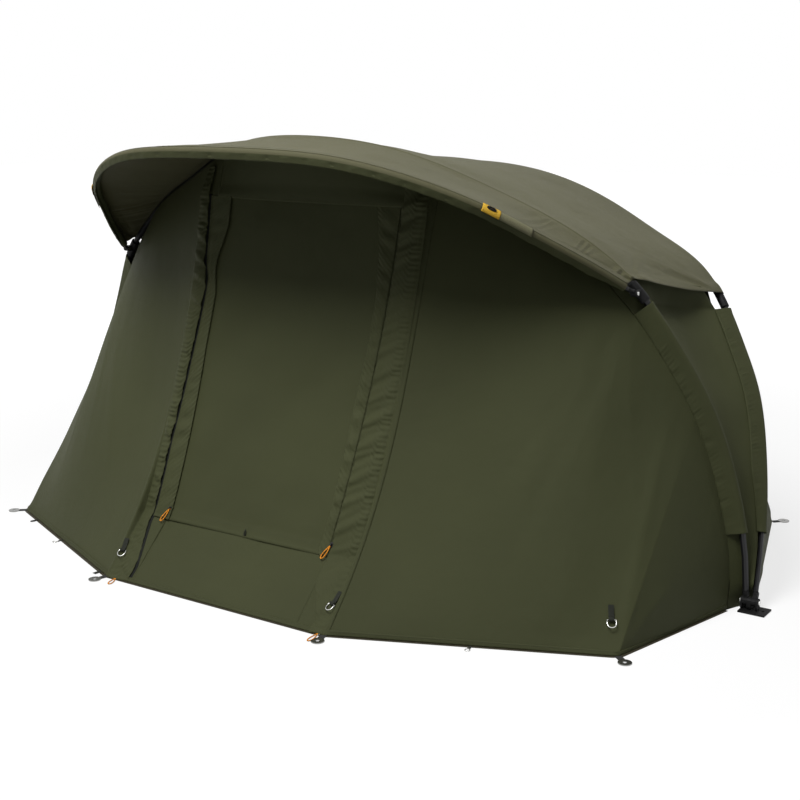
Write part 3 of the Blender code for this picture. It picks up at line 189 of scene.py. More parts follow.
# %% Peak rib
PEAK_REACH = 0.765
PEAK_ANGLE = math.radians(32.5)
PEAK_OFFSET = 0.030
KNUCKLE_HEIGHT = 0.965
REAR_KNUCKLE_HEIGHT = 0.885
PEAK_RIB_SHARES = ((1.000, 0.000), (0.919, 0.223), (0.823, 0.440), (0.737, 0.621), (0.612, 0.791),
                   (0.523, 0.874), (0.368, 0.961), (0.191, 0.993), (0.000, 1.000))
FRONT_KNUCKLE = FRONT.height(KNUCKLE_HEIGHT)
REAR_KNUCKLE = REAR.height(REAR_KNUCKLE_HEIGHT)
PEAK_PIVOT = FRONT.at(FRONT_KNUCKLE) + (0.0, -PEAK_OFFSET, 0.0)
PEAK_AIM = np.array((0.0, -math.cos(PEAK_ANGLE), math.sin(PEAK_ANGLE)))
PEAK = Rib([np.array((x * PEAK_PIVOT[0], PEAK_PIVOT[1], PEAK_PIVOT[2])) + PEAK_AIM * PEAK_REACH * reach
            for x, reach in PEAK_RIB_SHARES])
print(f"peak rib {PEAK.length:.3f} m a side, from {FRONT_KNUCKLE:.3f} m up the front rib")

# %% [markdown]
# ## Cloth
# Tent cloth is thin and runs straight between what holds it. A simulation would drape it, but hangs
# slack and takes long, so each cloth is a grid of points between two lines and Solidify gives its
# hem a thickness. Its UV map is in metres, so every weave has the same scale.

# %% Cloth from a grid
CLOTH = 0.0012             # thickness that shows at a hem
ROOM = 0.0006              # between cloths that lie on each other
HEM_HEIGHT = 0.0021


def normals(grid):
    """Normals of a grid, from the differences along its rows and columns."""
    across = np.gradient(grid, axis=1)
    up = np.gradient(grid, axis=0)
    return unit(np.cross(across, up))


def facing(grid, axis=2):
    """The grid turned over if its faces look the wrong way along an axis."""
    return grid[:, ::-1] if np.mean(normals(grid)[:, :, axis]) < 0 else grid


def shown(name, data):
    """A new object in the scene, of a mesh, a lamp or a camera."""
    piece = bpy.data.objects.new(name, data)
    bpy.context.scene.collection.objects.link(piece)
    return piece


def cloth(name, grid, paint, thickness=CLOTH):
    """A cloth object from rows of points."""
    rows, columns = grid.shape[:2]
    index = np.arange(rows * columns).reshape(rows, columns)
    quads = np.stack([index[:-1, :-1], index[:-1, 1:], index[1:, 1:], index[1:, :-1]], axis=-1)
    mesh = bpy.data.meshes.new(name)
    mesh.from_pydata(grid.reshape(-1, 3).tolist(), [], quads.reshape(-1, 4).tolist())
    across = np.linalg.norm(np.diff(grid, axis=1), axis=-1)
    up = np.linalg.norm(np.diff(grid, axis=0), axis=-1)
    u = np.concatenate([np.zeros((rows, 1)), np.cumsum(across, axis=1)], axis=1)
    u = u - u[:, columns // 2][:, None]
    v = np.concatenate([np.zeros((1, columns)), np.cumsum(up, axis=0)], axis=0)
    flat = np.stack([u, v], axis=-1).reshape(-1, 2)
    layer = mesh.uv_layers.new(name="UVMap")
    loops = np.zeros(len(mesh.loops), np.int32)
    mesh.loops.foreach_get("vertex_index", loops)
    layer.data.foreach_set("uv", flat[loops].astype(np.float32).ravel())
    mesh.shade_smooth()
    mesh.materials.append(paint)
    piece = shown(name, mesh)
    if thickness:
        wall = piece.modifiers.new("thickness", "SOLIDIFY")
        wall.thickness = thickness
        wall.offset = 0.0
    print("cloth", name, rows, "x", columns, "points")
    return piece


def mirrored(grid, side):
    """The grid on its side of the tent, with its face still outward."""
    return grid if side > 0 else (grid * (-1, 1, 1))[:, ::-1]


def whole(half):
    """A right half, from the right hem to the middle, and its mirror image as one grid."""
    return np.concatenate([half, (half * (-1, 1, 1))[:, -2::-1]], axis=1)


print("a cloth shows", CLOTH * 1000, "mm thick")

# %% [markdown]
# ## Pieces that ride a body
# A piece of the front wall is attached to the front rib, or to a body that hangs from it. The sheets
# are nearly flat, and no flat cut is worked out for them.


def front_piece(piece, body="front_rib"):
    """A piece of the front wall rides the front rib, or a body that hangs from it."""
    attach(piece, body)
    return piece


print("sheets on each other lie", ROOM * 1000, "mm apart")

# %% [markdown]
# ## Folds, creases and slack
# Sewn cloth pulls towards its corners. Modelled folds catch the light and show at an edge, which
# painted ones can't. A crease pushes the grid along its normals, a fan sends creases out of a corner,
# a swell is slow slack and a ruffle puckers cloth beside a seam. Seeds keep each run the same.

# %% Folds
def crease(grid, out, start, end, width, height):
    """A straight fold from start to end, fading at both."""
    start = np.asarray(start, float)
    run = np.asarray(end, float) - start
    way = np.clip(((grid - start) @ run) / (run @ run), 0.0, 1.0)
    off = np.linalg.norm(grid - start - way[..., None] * run, axis=-1)
    fade = ease(way, 0.0, 0.18) * (1 - ease(way, 0.55, 1.0))
    return grid + out * (height * fade * np.exp(-(off / width) ** 2))[..., None]


def fan(grid, anchor, targets, width, height, seed):
    """Tension folds from an anchor towards targets, each a little different."""
    rng = np.random.default_rng(seed)
    out = normals(grid)
    for target in targets:
        reach = rng.uniform(0.5, 1.0)
        start = np.asarray(anchor, float)
        end = start + (np.asarray(target, float) - start) * reach
        size = rng.uniform(0.6, 1.3)
        grid = crease(grid, out, start, end, width * size, height * rng.uniform(-1.0, 1.0))
    return grid


def swell(grid, out, size, height, seed):
    """A slow unevenness of slack cloth."""
    rng = np.random.default_rng(seed)
    total = np.zeros(grid.shape[:2])
    for octave in (1.0, 1.9, 3.1):
        for _ in range(3):
            turn = rng.normal(size=3)
            wave = grid @ (turn / np.linalg.norm(turn)) * (2 * math.pi / size * octave)
            total += np.sin(wave + rng.uniform(0, 6.28)) / octave
    return grid + out * (total * height / 6)[..., None]


def ruffle(along, off, run, reach, height, seed, slant=0.8):
    """Slanted puckers that die away from a seam: along it and off it, in metres."""
    rng = np.random.default_rng(seed)
    knots = np.linspace(along.min(), along.max(), max(int((along.max() - along.min()) / run), 4))
    wobble = np.interp(along, knots, rng.uniform(-1.5, 1.5, len(knots)))
    size = np.interp(along, knots[::2], rng.uniform(0.15, 1.0, len(knots[::2])))
    wave = np.sin((along + slant * off) * (2 * math.pi / run) + wobble)
    return wave * size * np.exp(-np.maximum(off, 0) / reach) * height


even = np.zeros((2, 5))
print("an even edge ruffled:", ruffle(even + np.linspace(0, 1, 5), even, 0.2, 1.0, 1.0, 0)[0].round(2))

# %% [markdown]
# ## Finishes
# No coating is even, and one flat colour looks like plastic. So every finish is a Principled shader
# with some noise in its tone, roughness and bump. Short helpers keep the node trees readable.

# %% Shader helpers
def link(tree, source, target):
    tree.links.new(source, target)


def math_node(tree, operation, first, second=None):
    node = tree.nodes.new("ShaderNodeMath")
    node.operation = operation
    for slot, value in zip(node.inputs, (first, second)):
        if value is None:
            continue
        if isinstance(value, (int, float)):
            slot.default_value = value
        else:
            link(tree, value, slot)
    return node.outputs["Value"]


def vector_node(tree, operation, source, other=None):
    node = tree.nodes.new("ShaderNodeVectorMath")
    node.operation = operation
    link(tree, source, node.inputs[0])
    if other is not None:
        node.inputs[1].default_value = other
    return node.outputs["Value" if operation == "LENGTH" else "Vector"]


def noise_node(tree, coordinates, scale, detail=3.0, stretch=(1.0, 1.0, 1.0), place=(0.0, 0.0, 0.0)):
    mapping = tree.nodes.new("ShaderNodeMapping")
    mapping.inputs["Scale"].default_value = stretch
    mapping.inputs["Location"].default_value = place
    link(tree, coordinates, mapping.inputs["Vector"])
    node = tree.nodes.new("ShaderNodeTexNoise")
    node.inputs["Scale"].default_value = scale
    node.inputs["Detail"].default_value = detail
    link(tree, mapping.outputs["Vector"], node.inputs["Vector"])
    return node.outputs["Fac"]


def base_material(name, colour, roughness, metallic=0.0, specular=0.5):
    made = bpy.data.materials.new(name)
    made.use_nodes = True
    tree = made.node_tree
    shader = tree.nodes["Principled BSDF"]
    shader.inputs["Base Color"].default_value = (*colour, 1.0)
    shader.inputs["Roughness"].default_value = roughness
    shader.inputs["Metallic"].default_value = metallic
    shader.inputs["Specular IOR Level"].default_value = specular
    print("finish", name)
    return made, tree, shader


def tone(tree, shader, colour, fac, low, high):
    """The base colour between two brightnesses of one colour."""
    ramp = tree.nodes.new("ShaderNodeMix")
    ramp.data_type = "RGBA"
    ramp.inputs["A"].default_value = (*[c * low for c in colour], 1.0)
    ramp.inputs["B"].default_value = (*[c * high for c in colour], 1.0)
    link(tree, fac, ramp.inputs["Factor"])
    link(tree, ramp.outputs["Result"], shader.inputs["Base Color"])


def bump(tree, shader, height, strength, distance):
    node = tree.nodes.new("ShaderNodeBump")
    node.inputs["Strength"].default_value = strength
    node.inputs["Distance"].default_value = distance
    link(tree, height, node.inputs["Height"])
    link(tree, node.outputs["Normal"], shader.inputs["Normal"])


print("materials so far:", len(bpy.data.materials))

# %% [markdown]
# ## Coated polyester
# The cloth is a plain weave with a dull coating. An image would show its edges and its repeat. Two
# sines over the UV map make the weave, and stretched noise the long soft creases of a cloth that is
# kept in a bag. The roof is a tougher and paler cloth than the walls.

# %% Coated cloth
def weave_height(tree, pitch):
    """A plain weave from the UV map's metres."""
    uv = tree.nodes.new("ShaderNodeUVMap")
    uv.uv_map = "UVMap"
    parts = tree.nodes.new("ShaderNodeSeparateXYZ")
    link(tree, uv.outputs["UV"], parts.inputs["Vector"])
    turn = math.pi / pitch
    across = math_node(tree, "SINE", math_node(tree, "MULTIPLY", parts.outputs["X"], turn))
    up = math_node(tree, "SINE", math_node(tree, "MULTIPLY", parts.outputs["Y"], turn))
    return math_node(tree, "MULTIPLY", across, up), uv.outputs["UV"]


def cloth_material(name, colour, roughness, sheen, pitch=0.0011, crinkle=0.5):
    made, tree, shader = base_material(name, colour, roughness, specular=0.18)
    shader.inputs["Sheen Weight"].default_value = sheen
    shader.inputs["Sheen Roughness"].default_value = 0.5
    shader.inputs["Sheen Tint"].default_value = (0.75, 0.75, 0.45, 1.0)
    where = tree.nodes.new("ShaderNodeTexCoord").outputs["Object"]
    weave, uv = weave_height(tree, pitch)
    slow = noise_node(tree, where, 2.1, 4.0)
    grain = noise_node(tree, where, 420.0, 2.0)
    mixed = math_node(tree, "ADD", math_node(tree, "MULTIPLY", slow, 0.8),
                      math_node(tree, "MULTIPLY", grain, 0.2))
    tone(tree, shader, colour, mixed, 0.80, 1.22)
    long_creases = noise_node(tree, uv, 3.0, 5.0, (1.0, 0.35, 1.0))
    short_creases = noise_node(tree, uv, 14.0, 3.0, (0.6, 1.0, 1.0), (3.0, 5.0, 0.0))
    height = math_node(tree, "ADD", math_node(tree, "MULTIPLY", long_creases, crinkle * 6),
                       math_node(tree, "MULTIPLY", short_creases, crinkle))
    height = math_node(tree, "ADD", height, math_node(tree, "MULTIPLY", weave, 0.05))
    bump(tree, shader, height, 0.75, 0.0055)
    return made


ROOF_COLOUR = (0.086, 0.083, 0.042)
WALL_COLOUR = (0.048, 0.053, 0.021)
ROOF = cloth_material("roof_cloth", ROOF_COLOUR, 0.58, 0.06, crinkle=0.8)
WALL = cloth_material("wall_cloth", WALL_COLOUR, 0.66, 0.03)
FLAP = cloth_material("flap_cloth", [c * 1.04 for c in WALL_COLOUR], 0.64, 0.04, crinkle=0.9)
SEAM = cloth_material("seam_tape", [c * 0.80 for c in WALL_COLOUR], 0.70, 0.02, crinkle=0.2)
SHEETING = cloth_material("groundsheet", (0.014, 0.016, 0.012), 0.55, 0.02, pitch=0.0025)
MUD_FLAP_CLOTH = cloth_material("mud_flap", (0.042, 0.037, 0.022), 0.60, 0.02)

# %% [markdown]
# ## Webbing and cord
# Webbing is woven thick, with ribs across it. One band wave drives both tone and bump, so light and
# relief agree; modelled ribs would cost many faces for what is under a millimetre.

# %% Webbing and cord
def webbing_material(name, colour):
    made, tree, shader = base_material(name, colour, 0.85, specular=0.2)
    where = tree.nodes.new("ShaderNodeTexCoord").outputs["Object"]
    wave = tree.nodes.new("ShaderNodeTexWave")
    wave.wave_type = "BANDS"
    wave.bands_direction = "DIAGONAL"
    wave.inputs["Scale"].default_value = 260.0
    wave.inputs["Distortion"].default_value = 0.6
    link(tree, where, wave.inputs["Vector"])
    tone(tree, shader, colour, wave.outputs["Fac"], 0.55, 1.5)
    bump(tree, shader, wave.outputs["Fac"], 0.6, 0.0006)
    return made


WEBBING = webbing_material("black_webbing", (0.024, 0.026, 0.020))
KHAKI_WEBBING = webbing_material("khaki_webbing", (0.205, 0.200, 0.118))
ZIP_TAPE = webbing_material("zip_tape", (0.011, 0.012, 0.010))
ORANGE = webbing_material("orange_cord", (0.80, 0.30, 0.03))
YELLOW = webbing_material("yellow_webbing", (0.78, 0.47, 0.05))

# %% [markdown]
# ## Hard finishes
# Poles are coated, knuckles are moulded and rings are bright wire. They differ in metal, in
# roughness and in grain, so one helper with those three inputs makes them all.

# %% Poles, plastic and steel
def hard_material(name, colour, roughness, metallic, spread, grain, height, specular=0.5):
    """Metal or plastic: roughness varies by spread over a fine grain."""
    made, tree, shader = base_material(name, colour, roughness, metallic, specular)
    where = tree.nodes.new("ShaderNodeTexCoord").outputs["Object"]
    fine = noise_node(tree, where, grain, 4.0)
    patchy = noise_node(tree, where, grain / 12, 3.0)
    rough = math_node(tree, "ADD", roughness - spread / 2, math_node(tree, "MULTIPLY", patchy, spread))
    link(tree, rough, shader.inputs["Roughness"])
    tone(tree, shader, colour, patchy, 0.85, 1.15)
    bump(tree, shader, fine, 0.4, height)
    return made


POLE = hard_material("pole_coat", (0.007, 0.007, 0.008), 0.40, 0.0, 0.18, 300.0, 0.0002, 0.32)
PLASTIC = hard_material("moulded_plastic", (0.006, 0.006, 0.006), 0.60, 0.0, 0.20, 700.0, 0.0003, 0.15)
STEEL = hard_material("bright_steel", (0.62, 0.62, 0.60), 0.26, 1.0, 0.20, 500.0, 0.0001)
THREAD = hard_material("thread", (0.020, 0.024, 0.012), 0.80, 0.0, 0.05, 900.0, 0.0001)

# %% [markdown]
# ## Solids that stay in sight
# The record names each solid's finish, so its material is found by that name and none is missed.

# %% Painting the solids
HARD_PAINT = {"pole_metal": POLE, "black_plastic": PLASTIC, "steel": STEEL, "eyelet_steel": STEEL,
              "webbing": WEBBING, "orange_cord": ORANGE, "groundsheet_fabric": SHEETING}
slot_of = {row["node"]: row["material_slot"] for row in frame["record"]["subparts"]}
for node_name, node in frame["nodes"].items():
    paint = HARD_PAINT.get(slot_of[node_name], WALL)
    node.data.materials.clear()
    node.data.materials.append(paint)
print("painted", len(frame["nodes"]), "solids")

# %% [markdown]
# ## Lines of the roof and hood
# The roof lies behind the front rib and the hood ahead of it. Both are taut, so their lines run
# straight from pole to pole. They rise near a knuckle, which is thicker than the pole: the cloth
# lies over it, as it would be cut by it otherwise.

# %% Lines of the roof
FRONT_POLE_RADIUS = 0.010
REAR_POLE_RADIUS = 0.008
KNUCKLE_HALF_LENGTH = 0.034
KNUCKLE_RADIUS = 0.0160
REAR_KNUCKLE_RADIUS = 0.0140
SHOULDER_START = 0.040     # roof and hood over the front rib, measured from its knuckle
REAR_SHOULDER_START = 0.014
RIM_CLOTH_START = 0.046    # hood's rim on the peak pole, measured from its pivot


def spans(near, near_start, far, far_start, steps):
    """Places along the right halves of two ribs, from their side hems to their tops."""
    share = np.linspace(0, 1, steps)
    near_place = near_start + (near.length - near_start) * share
    far_place = far_start + (far.length - far_start) * share
    return near_place, far_place


def lifts(rib, place, run):
    """From a rib's centre towards the cloth that runs over it."""
    out = rib.outward(place)
    return unit(out - run * np.sum(out * run, axis=-1, keepdims=True))


def turn_rows(centre, first, last, radius, steps):
    """Rows round a pole, from the direction first to last."""
    return [centre + unit(first * (1 - way) + last * way) * radius for way in np.linspace(0, 1, steps)]


def over_knuckle(place, knuckle, pole_radius, knuckle_radius):
    """How far from a rib's centre the cloth lies: on the pole, and clear of the knuckle."""
    top = knuckle + KNUCKLE_HALF_LENGTH
    near = 1 - ease(place, top + 0.004, top + 0.040)
    return (pole_radius + ROOM * 2 + (knuckle_radius - pole_radius) * near)[:, None]


def crown(steps):
    """The lines of the roof and hood at that many columns a side."""
    front_place, rear_place = spans(FRONT, FRONT_KNUCKLE + SHOULDER_START, REAR,
                                    REAR_KNUCKLE + REAR_SHOULDER_START, steps)
    _, peak_place = spans(FRONT, FRONT_KNUCKLE + SHOULDER_START, PEAK, RIM_CLOTH_START, steps)
    ridge, rear_top, rim = FRONT.at(front_place), REAR.at(rear_place), PEAK.at(peak_place)
    roof_run, hood_run = unit(rear_top - ridge), unit(rim - ridge)
    roof_lift = lifts(FRONT, front_place, roof_run)
    hood_lift = lifts(FRONT, front_place, hood_run)
    return {"ridge": ridge, "rear": rear_top, "rim": rim, "out": FRONT.outward(front_place),
            "roof_lift": roof_lift, "hood_lift": hood_lift, "ridge_lift": unit(roof_lift + hood_lift),
            "rear_lift": lifts(REAR, rear_place, roof_run), "rim_lift": lifts(PEAK, peak_place, hood_run),
            "rim_along": PEAK.tangent(peak_place), "hood_run": hood_run, "roof_run": roof_run,
            "on_front": over_knuckle(front_place, FRONT_KNUCKLE, FRONT_POLE_RADIUS, KNUCKLE_RADIUS),
            "on_rear": over_knuckle(rear_place, REAR_KNUCKLE, REAR_POLE_RADIUS, REAR_KNUCKLE_RADIUS)}


print("roof starts", SHOULDER_START, "m above the front knuckle")

# %% [markdown]
# ## The roof
# Rows start half way round the front pole, cross with a slight sag, wrap the rear pole and hang down
# behind it as a hem. A lofted surface would give the same, but with rows that are hard to place.

# %% Roof cloth
ROOF_SAG = 0.012
HEM_WIDTH = 0.016
REAR_NORMAL = np.array((0.0, math.cos(REAR_ANGLE), -math.sin(REAR_ANGLE)))
line = crown(int(170 * FINE))
ridge, rear_top, on_front, on_rear = line["ridge"], line["rear"], line["on_front"], line["on_rear"]
roof_rows = turn_rows(ridge, line["ridge_lift"], line["roof_lift"], on_front, 5)
roof_start = ridge + line["roof_lift"] * on_front
roof_end = rear_top + line["rear_lift"] * on_rear
ROOF_CORNERS = (roof_start[0], roof_end[0])
roof_steps = int(100 * FINE)
for way in np.linspace(0, 1, roof_steps)[1:]:
    sag = ROOF_SAG * 4 * way * (1 - way)
    roof_rows.append(roof_start + (roof_end - roof_start) * way - line["out"] * sag)
behind = unit(REAR_NORMAL + line["rear_lift"] * 0.15)
roof_rows += turn_rows(rear_top, line["rear_lift"], behind, on_rear, 6)[1:]
for way in (0.4, 1.0):
    roof_rows.append(rear_top + behind * (on_rear + ROOM) - line["rear_lift"] * HEM_WIDTH * way)
roof_grid = facing(whole(np.array(roof_rows)))
print("roof from", roof_start[0].round(3), "to", roof_end[0].round(3))

# %% [markdown]
# ## Tension in the roof
# The roof pulls from its corners at the knuckles, and a few loose folds lie near its top. They fade
# at the poles, where the cloth is held.

# %% Roof folds
ROOF_SLACK = (0.65, 0.010)         # length and height of its slow waves
KNUCKLE_FOLD = (0.014, 0.0035)     # width and height of a fold from a front knuckle
REAR_KNUCKLE_FOLD = (0.014, 0.003)
LOOSE_FOLD = (0.013, 0.0036)

row_share = np.arange(roof_grid.shape[0]) / roof_steps
free = ease(row_share, 0.06, 0.22) * (1 - ease(row_share, 0.82, 0.98))
folded = swell(roof_grid, normals(roof_grid), *ROOF_SLACK, 3)
for side in (1, -1):
    knuckle = roof_start[0] * (side, 1, 1)
    targets = [rear_top[int(len(ridge) * k)] * (side, 1, 1) for k in (0.0, 0.06, 0.13, 0.2, 0.3, 0.42)]
    folded = fan(folded, knuckle, targets, *KNUCKLE_FOLD, 20 + side)
    corner = roof_end[0] * (side, 1, 1)
    targets = [ridge[int(len(ridge) * k)] * (side, 1, 1) for k in (0.05, 0.15, 0.28, 0.4)]
    folded = fan(folded, corner, targets, *REAR_KNUCKLE_FOLD, 30 + side)
for k, (share, reach) in enumerate(((0.42, 0.22), (0.48, 0.28), (0.55, 0.25), (0.62, 0.32), (0.71, 0.26))):
    at = int(len(ridge) * share)
    start = roof_start[at]
    end = start + line["roof_run"][at] * reach + (0.16, 0.0, 0.0)
    width, height = LOOSE_FOLD
    folded = crease(folded, normals(folded), start, end, width, height * (-1) ** k)
roof_grid = roof_grid + (folded - roof_grid) * free[:, None, None]
roof = cloth("roof_cloth", roof_grid, ROOF)
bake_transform(roof)
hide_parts("roof_canopy")

# %% [markdown]
# ## The hood
# The hood is part of the same crown. It goes on from the ridge to the rim in straight lines.

# %% Hood cloth
HOOD_SAG = 0.006
RIM_RADIUS = 0.013
line = crown(int(240 * FINE))
ridge, rim, on_front = line["ridge"], line["rim"], line["on_front"]
hood_steps = int(56 * FINE)
hood_rows = turn_rows(ridge, line["hood_lift"], line["ridge_lift"], on_front, 5)[::-1]
hood_start = ridge + line["hood_lift"] * on_front
hood_end = rim + line["rim_lift"] * RIM_RADIUS
for way in np.linspace(0, 1, hood_steps)[1:]:
    sag = HOOD_SAG * 4 * way * (1 - way)
    hood_rows.append(hood_start + (hood_end - hood_start) * way - line["out"] * sag)
hood_grid = facing(whole(np.array(hood_rows)))
print("hood grid", hood_grid.shape[:2])

# %% [markdown]
# ## Slack at the hood's sides
# The hood's sides are wider than the gap that they cover. The slack lies in pleats, deeper on the
# left in this pitch. An even sine would look like corrugated sheet, so its phase, size and lean
# wander. The pleats fade out towards the front rib and the rim.

# %% Hood pleats
PLEAT_RUN = 0.046                  # spacing of the pleats
PLEAT_HEIGHT = 0.0042
PLEAT_LEAN = 0.09
LEFT_SLACK, RIGHT_SLACK = 1.5, 0.8
HOOD_SLACK = (0.5, 0.007)
HOOD_KNUCKLE_FOLD = (0.010, 0.0065)

row_share = np.clip((np.arange(hood_grid.shape[0]) - 4) / hood_steps, 0, 1)
column_share = np.abs(np.linspace(-1, 1, hood_grid.shape[1]))
run_along = lengths_along(hood_grid[-1])
wobble = np.interp(run_along, np.linspace(0, run_along[-1], 60), noise.uniform(-2.4, 2.4, 60))
size = np.interp(run_along, np.linspace(0, run_along[-1], 55), noise.uniform(0.0, 1.0, 55))
lean = np.interp(run_along, np.linspace(0, run_along[-1], 40), noise.uniform(-PLEAT_LEAN, PLEAT_LEAN, 40))
leaning = run_along[None, :] + lean[None, :] * row_share[:, None]
slack = np.where(hood_grid[-1, :, 0] < 0, LEFT_SLACK, RIGHT_SLACK)
pleat = np.sin(leaning * (2 * math.pi / PLEAT_RUN) + wobble * 1.4) * size * slack * PLEAT_HEIGHT
pleat = pleat * ease(column_share, 0.58, 0.86)
fade = ease(row_share, 0.0, 0.16) * (1 - ease(row_share, 0.80, 1.0))
folded = hood_grid + normals(hood_grid) * (pleat * fade[:, None])[..., None]
folded = swell(folded, normals(folded), *HOOD_SLACK, 5)
for side in (1, -1):
    knuckle = hood_start[0] * (side, 1, 1)
    targets = [rim[int(len(rim) * k)] * (side, 1, 1) for k in (0.06, 0.14, 0.22, 0.30, 0.38, 0.5)]
    folded = fan(folded, knuckle, targets, *HOOD_KNUCKLE_FOLD, 40 + side)
fade = ease(row_share, 0.02, 0.12) * (1 - ease(row_share, 0.88, 1.0))
hood_grid = hood_grid + (folded - hood_grid) * fade[:, None, None]
hood = cloth("hood_cloth", hood_grid, ROOF)
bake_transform(hood)
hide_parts("hood_canopy")
print("pleats up to", round(float(np.abs(pleat).max()) * 1000, 1), "mm")

# %% [markdown]
# ## The doubled edge
# The hood's edge is folded back and sewn down. A bump would only darken its line; a narrow grid
# just over the hood is a real step, which shows at the silhouette too.

# %% Doubled edge
RIM_TURN = 0.034           # width of the doubled cloth on the hood, back from its rim
hood_span = np.linalg.norm(hood_start - hood_end, axis=1, keepdims=True)
turn_lift = line["rim_lift"] * CLOTH * 1.3
turn_steps = np.linspace(0.0, 1.0, 8)
turn_share = np.minimum(RIM_TURN / hood_span, 0.35)
turn_grid = facing(whole(np.array([hood_end + (hood_start - hood_end) * turn_share * back + turn_lift
                                   for back in turn_steps])))
rim_turn = cloth("rim_turn", turn_grid, ROOF, CLOTH * 0.8)
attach(rim_turn, "peak_rib")

# %% [markdown]
# ## The rim
# The cloth wraps the peak pole and hangs on as a short hem that flutters a little. What hangs, and
# the front of the tunnel over it, get the wall's darker cloth as a second material: painted shade,
# as that part of the same cloth faces down into shadow.

# %% Rolled rim
RIM_WAVE, RIM_RIPPLE = 0.11, 0.043    # spacing of the hanging hem's waves
RIM_FLUTTER = 0.0008
RIM_HEM_FOLD = 0.0022                 # how thick the turned hem is
RIM_BAND = 0.018           # hem that hangs below the hood's pole tunnel
along, up = line["rim_along"], line["rim_lift"]
ahead = unit(line["hood_run"] - along * np.sum(line["hood_run"] * along, axis=-1, keepdims=True))
turns = [0.0, 14, 28, 42, 56, 70, 84, 98]


def round_rim(turn, radius):
    """A row round the peak pole, turned from above it towards its front."""
    angle = math.radians(turn)
    return rim + (up * math.cos(angle) + ahead * math.sin(angle)) * radius


rim_rows = [round_rim(turn, RIM_RADIUS) for turn in turns]
hang = unit(-up * 0.96 - ahead * 0.10)
edge = rim_rows[-1]
ends = ease(np.linspace(0, 1, len(rim)), 0.0, 0.10)[:, None] * 0.7 + 0.3
for way in np.linspace(0, 1, 7)[1:]:
    rim_rows.append(edge + hang * (RIM_BAND * way * ends))
rim_rows.append(rim_rows[-1] - ahead * RIM_HEM_FOLD * ends)
for way in (0.5, 1.0):
    rim_rows.append(rim_rows[14] - hang * (RIM_BAND * 0.5 * way * ends))
rim_grid = whole(np.array(rim_rows))
if np.mean(normals(rim_grid)[0, :, 2]) < 0:
    rim_grid = rim_grid[:, ::-1]
flutter = np.zeros(rim_grid.shape[:2])
run_along = lengths_along(rim_grid[0])
waves = np.sin(run_along * 2 * math.pi / RIM_WAVE)
waves = waves + 0.7 * np.sin(run_along * 2 * math.pi / RIM_RIPPLE + 1.0)
flutter[len(turns):] = waves * RIM_FLUTTER
rim_grid = rim_grid + normals(rim_grid) * flutter[..., None]
rim_cloth = cloth("rim_cloth", rim_grid, ROOF)
# The wall's darker cloth on the hem's rows is painted shade.
rim_cloth.data.materials.append(WALL)
painted_shade_faces = np.repeat(np.arange(rim_grid.shape[0] - 1) >= len(turns) - 2, rim_grid.shape[1] - 1)
rim_cloth.data.polygons.foreach_set("material_index", painted_shade_faces.astype(np.int32))
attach(rim_cloth, "peak_rib")
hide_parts("rim_sleeve")

# %% [markdown]
# ## The tunnel's back
# A dark lining closes the tunnel round the pole, so nothing shows through it from below.

# %% Rim lining
lining_turns = np.linspace(92, 262, 12)
lining_grid = whole(np.array([round_rim(turn, RIM_RADIUS - ROOM * 2) for turn in lining_turns]))
lining = cloth("rim_lining", lining_grid, SEAM)
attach(lining, "peak_rib")

# %% [markdown]
# ## Pole pockets
# The lower poles run in pockets: a tube of cloth whose edges are sewn together as a flat tail. One
# section swept along the pole makes it; two separate sheets would gape at the seam. The rear tail is
# cut back to where the front pocket comes when it is folded back.

# %% Pocket section
POCKET_RADIUS = 0.0135
POCKET_TAIL = 0.055
POCKET_FOOT = 0.215
FRONT_FOLD = math.radians(18)
FOLD_ROOM = 0.003


def pocket_section(count, tail, radius):
    """From one face of the tail round the pole to the other face."""
    touch = math.acos(radius / tail)
    flat = max(int(count * 0.22), 4)
    around = np.linspace(touch, 2 * math.pi - touch, count - 2 * flat)
    bow = np.stack([np.cos(around), np.sin(around)], axis=-1) * radius
    ways = np.linspace(0, 1, flat, endpoint=False)[:, None]
    upper = np.array((tail, CLOTH)) * (1 - ways) + bow[0] * ways
    lower = (bow[-1] * (1 - ways) + np.array((tail, -CLOTH)) * ways)[1:]
    return np.vstack([upper, bow, lower, [(tail, -CLOTH)]])


def folded_room(places):
    """How far the rear pocket's tail may reach before the front pocket, folded back, meets it."""
    folded = FRONT.at(places) - (0.0, 0.0, HUB_HEIGHT)
    back = folded[:, 1] * math.cos(FRONT_FOLD) + folded[:, 2] * math.sin(FRONT_FOLD)
    high = folded[:, 2] * math.cos(FRONT_FOLD) - folded[:, 1] * math.sin(FRONT_FOLD) + HUB_HEIGHT
    gap = np.linalg.norm(REAR.at(places) - np.stack([folded[:, 0], back, high], axis=-1), axis=-1)
    return np.clip(gap - POCKET_RADIUS - FOLD_ROOM, POCKET_RADIUS * 1.4, POCKET_TAIL)


print("points round a pocket:", len(pocket_section(34, POCKET_TAIL, POCKET_RADIUS)))

# %% [markdown]
# ## Puckers along the tail
# Thread shrinks a sewn tail, so it puckers and its edge weaves. A ripple leans across the tail and
# its size wanders, as an even one looks like a screw thread.

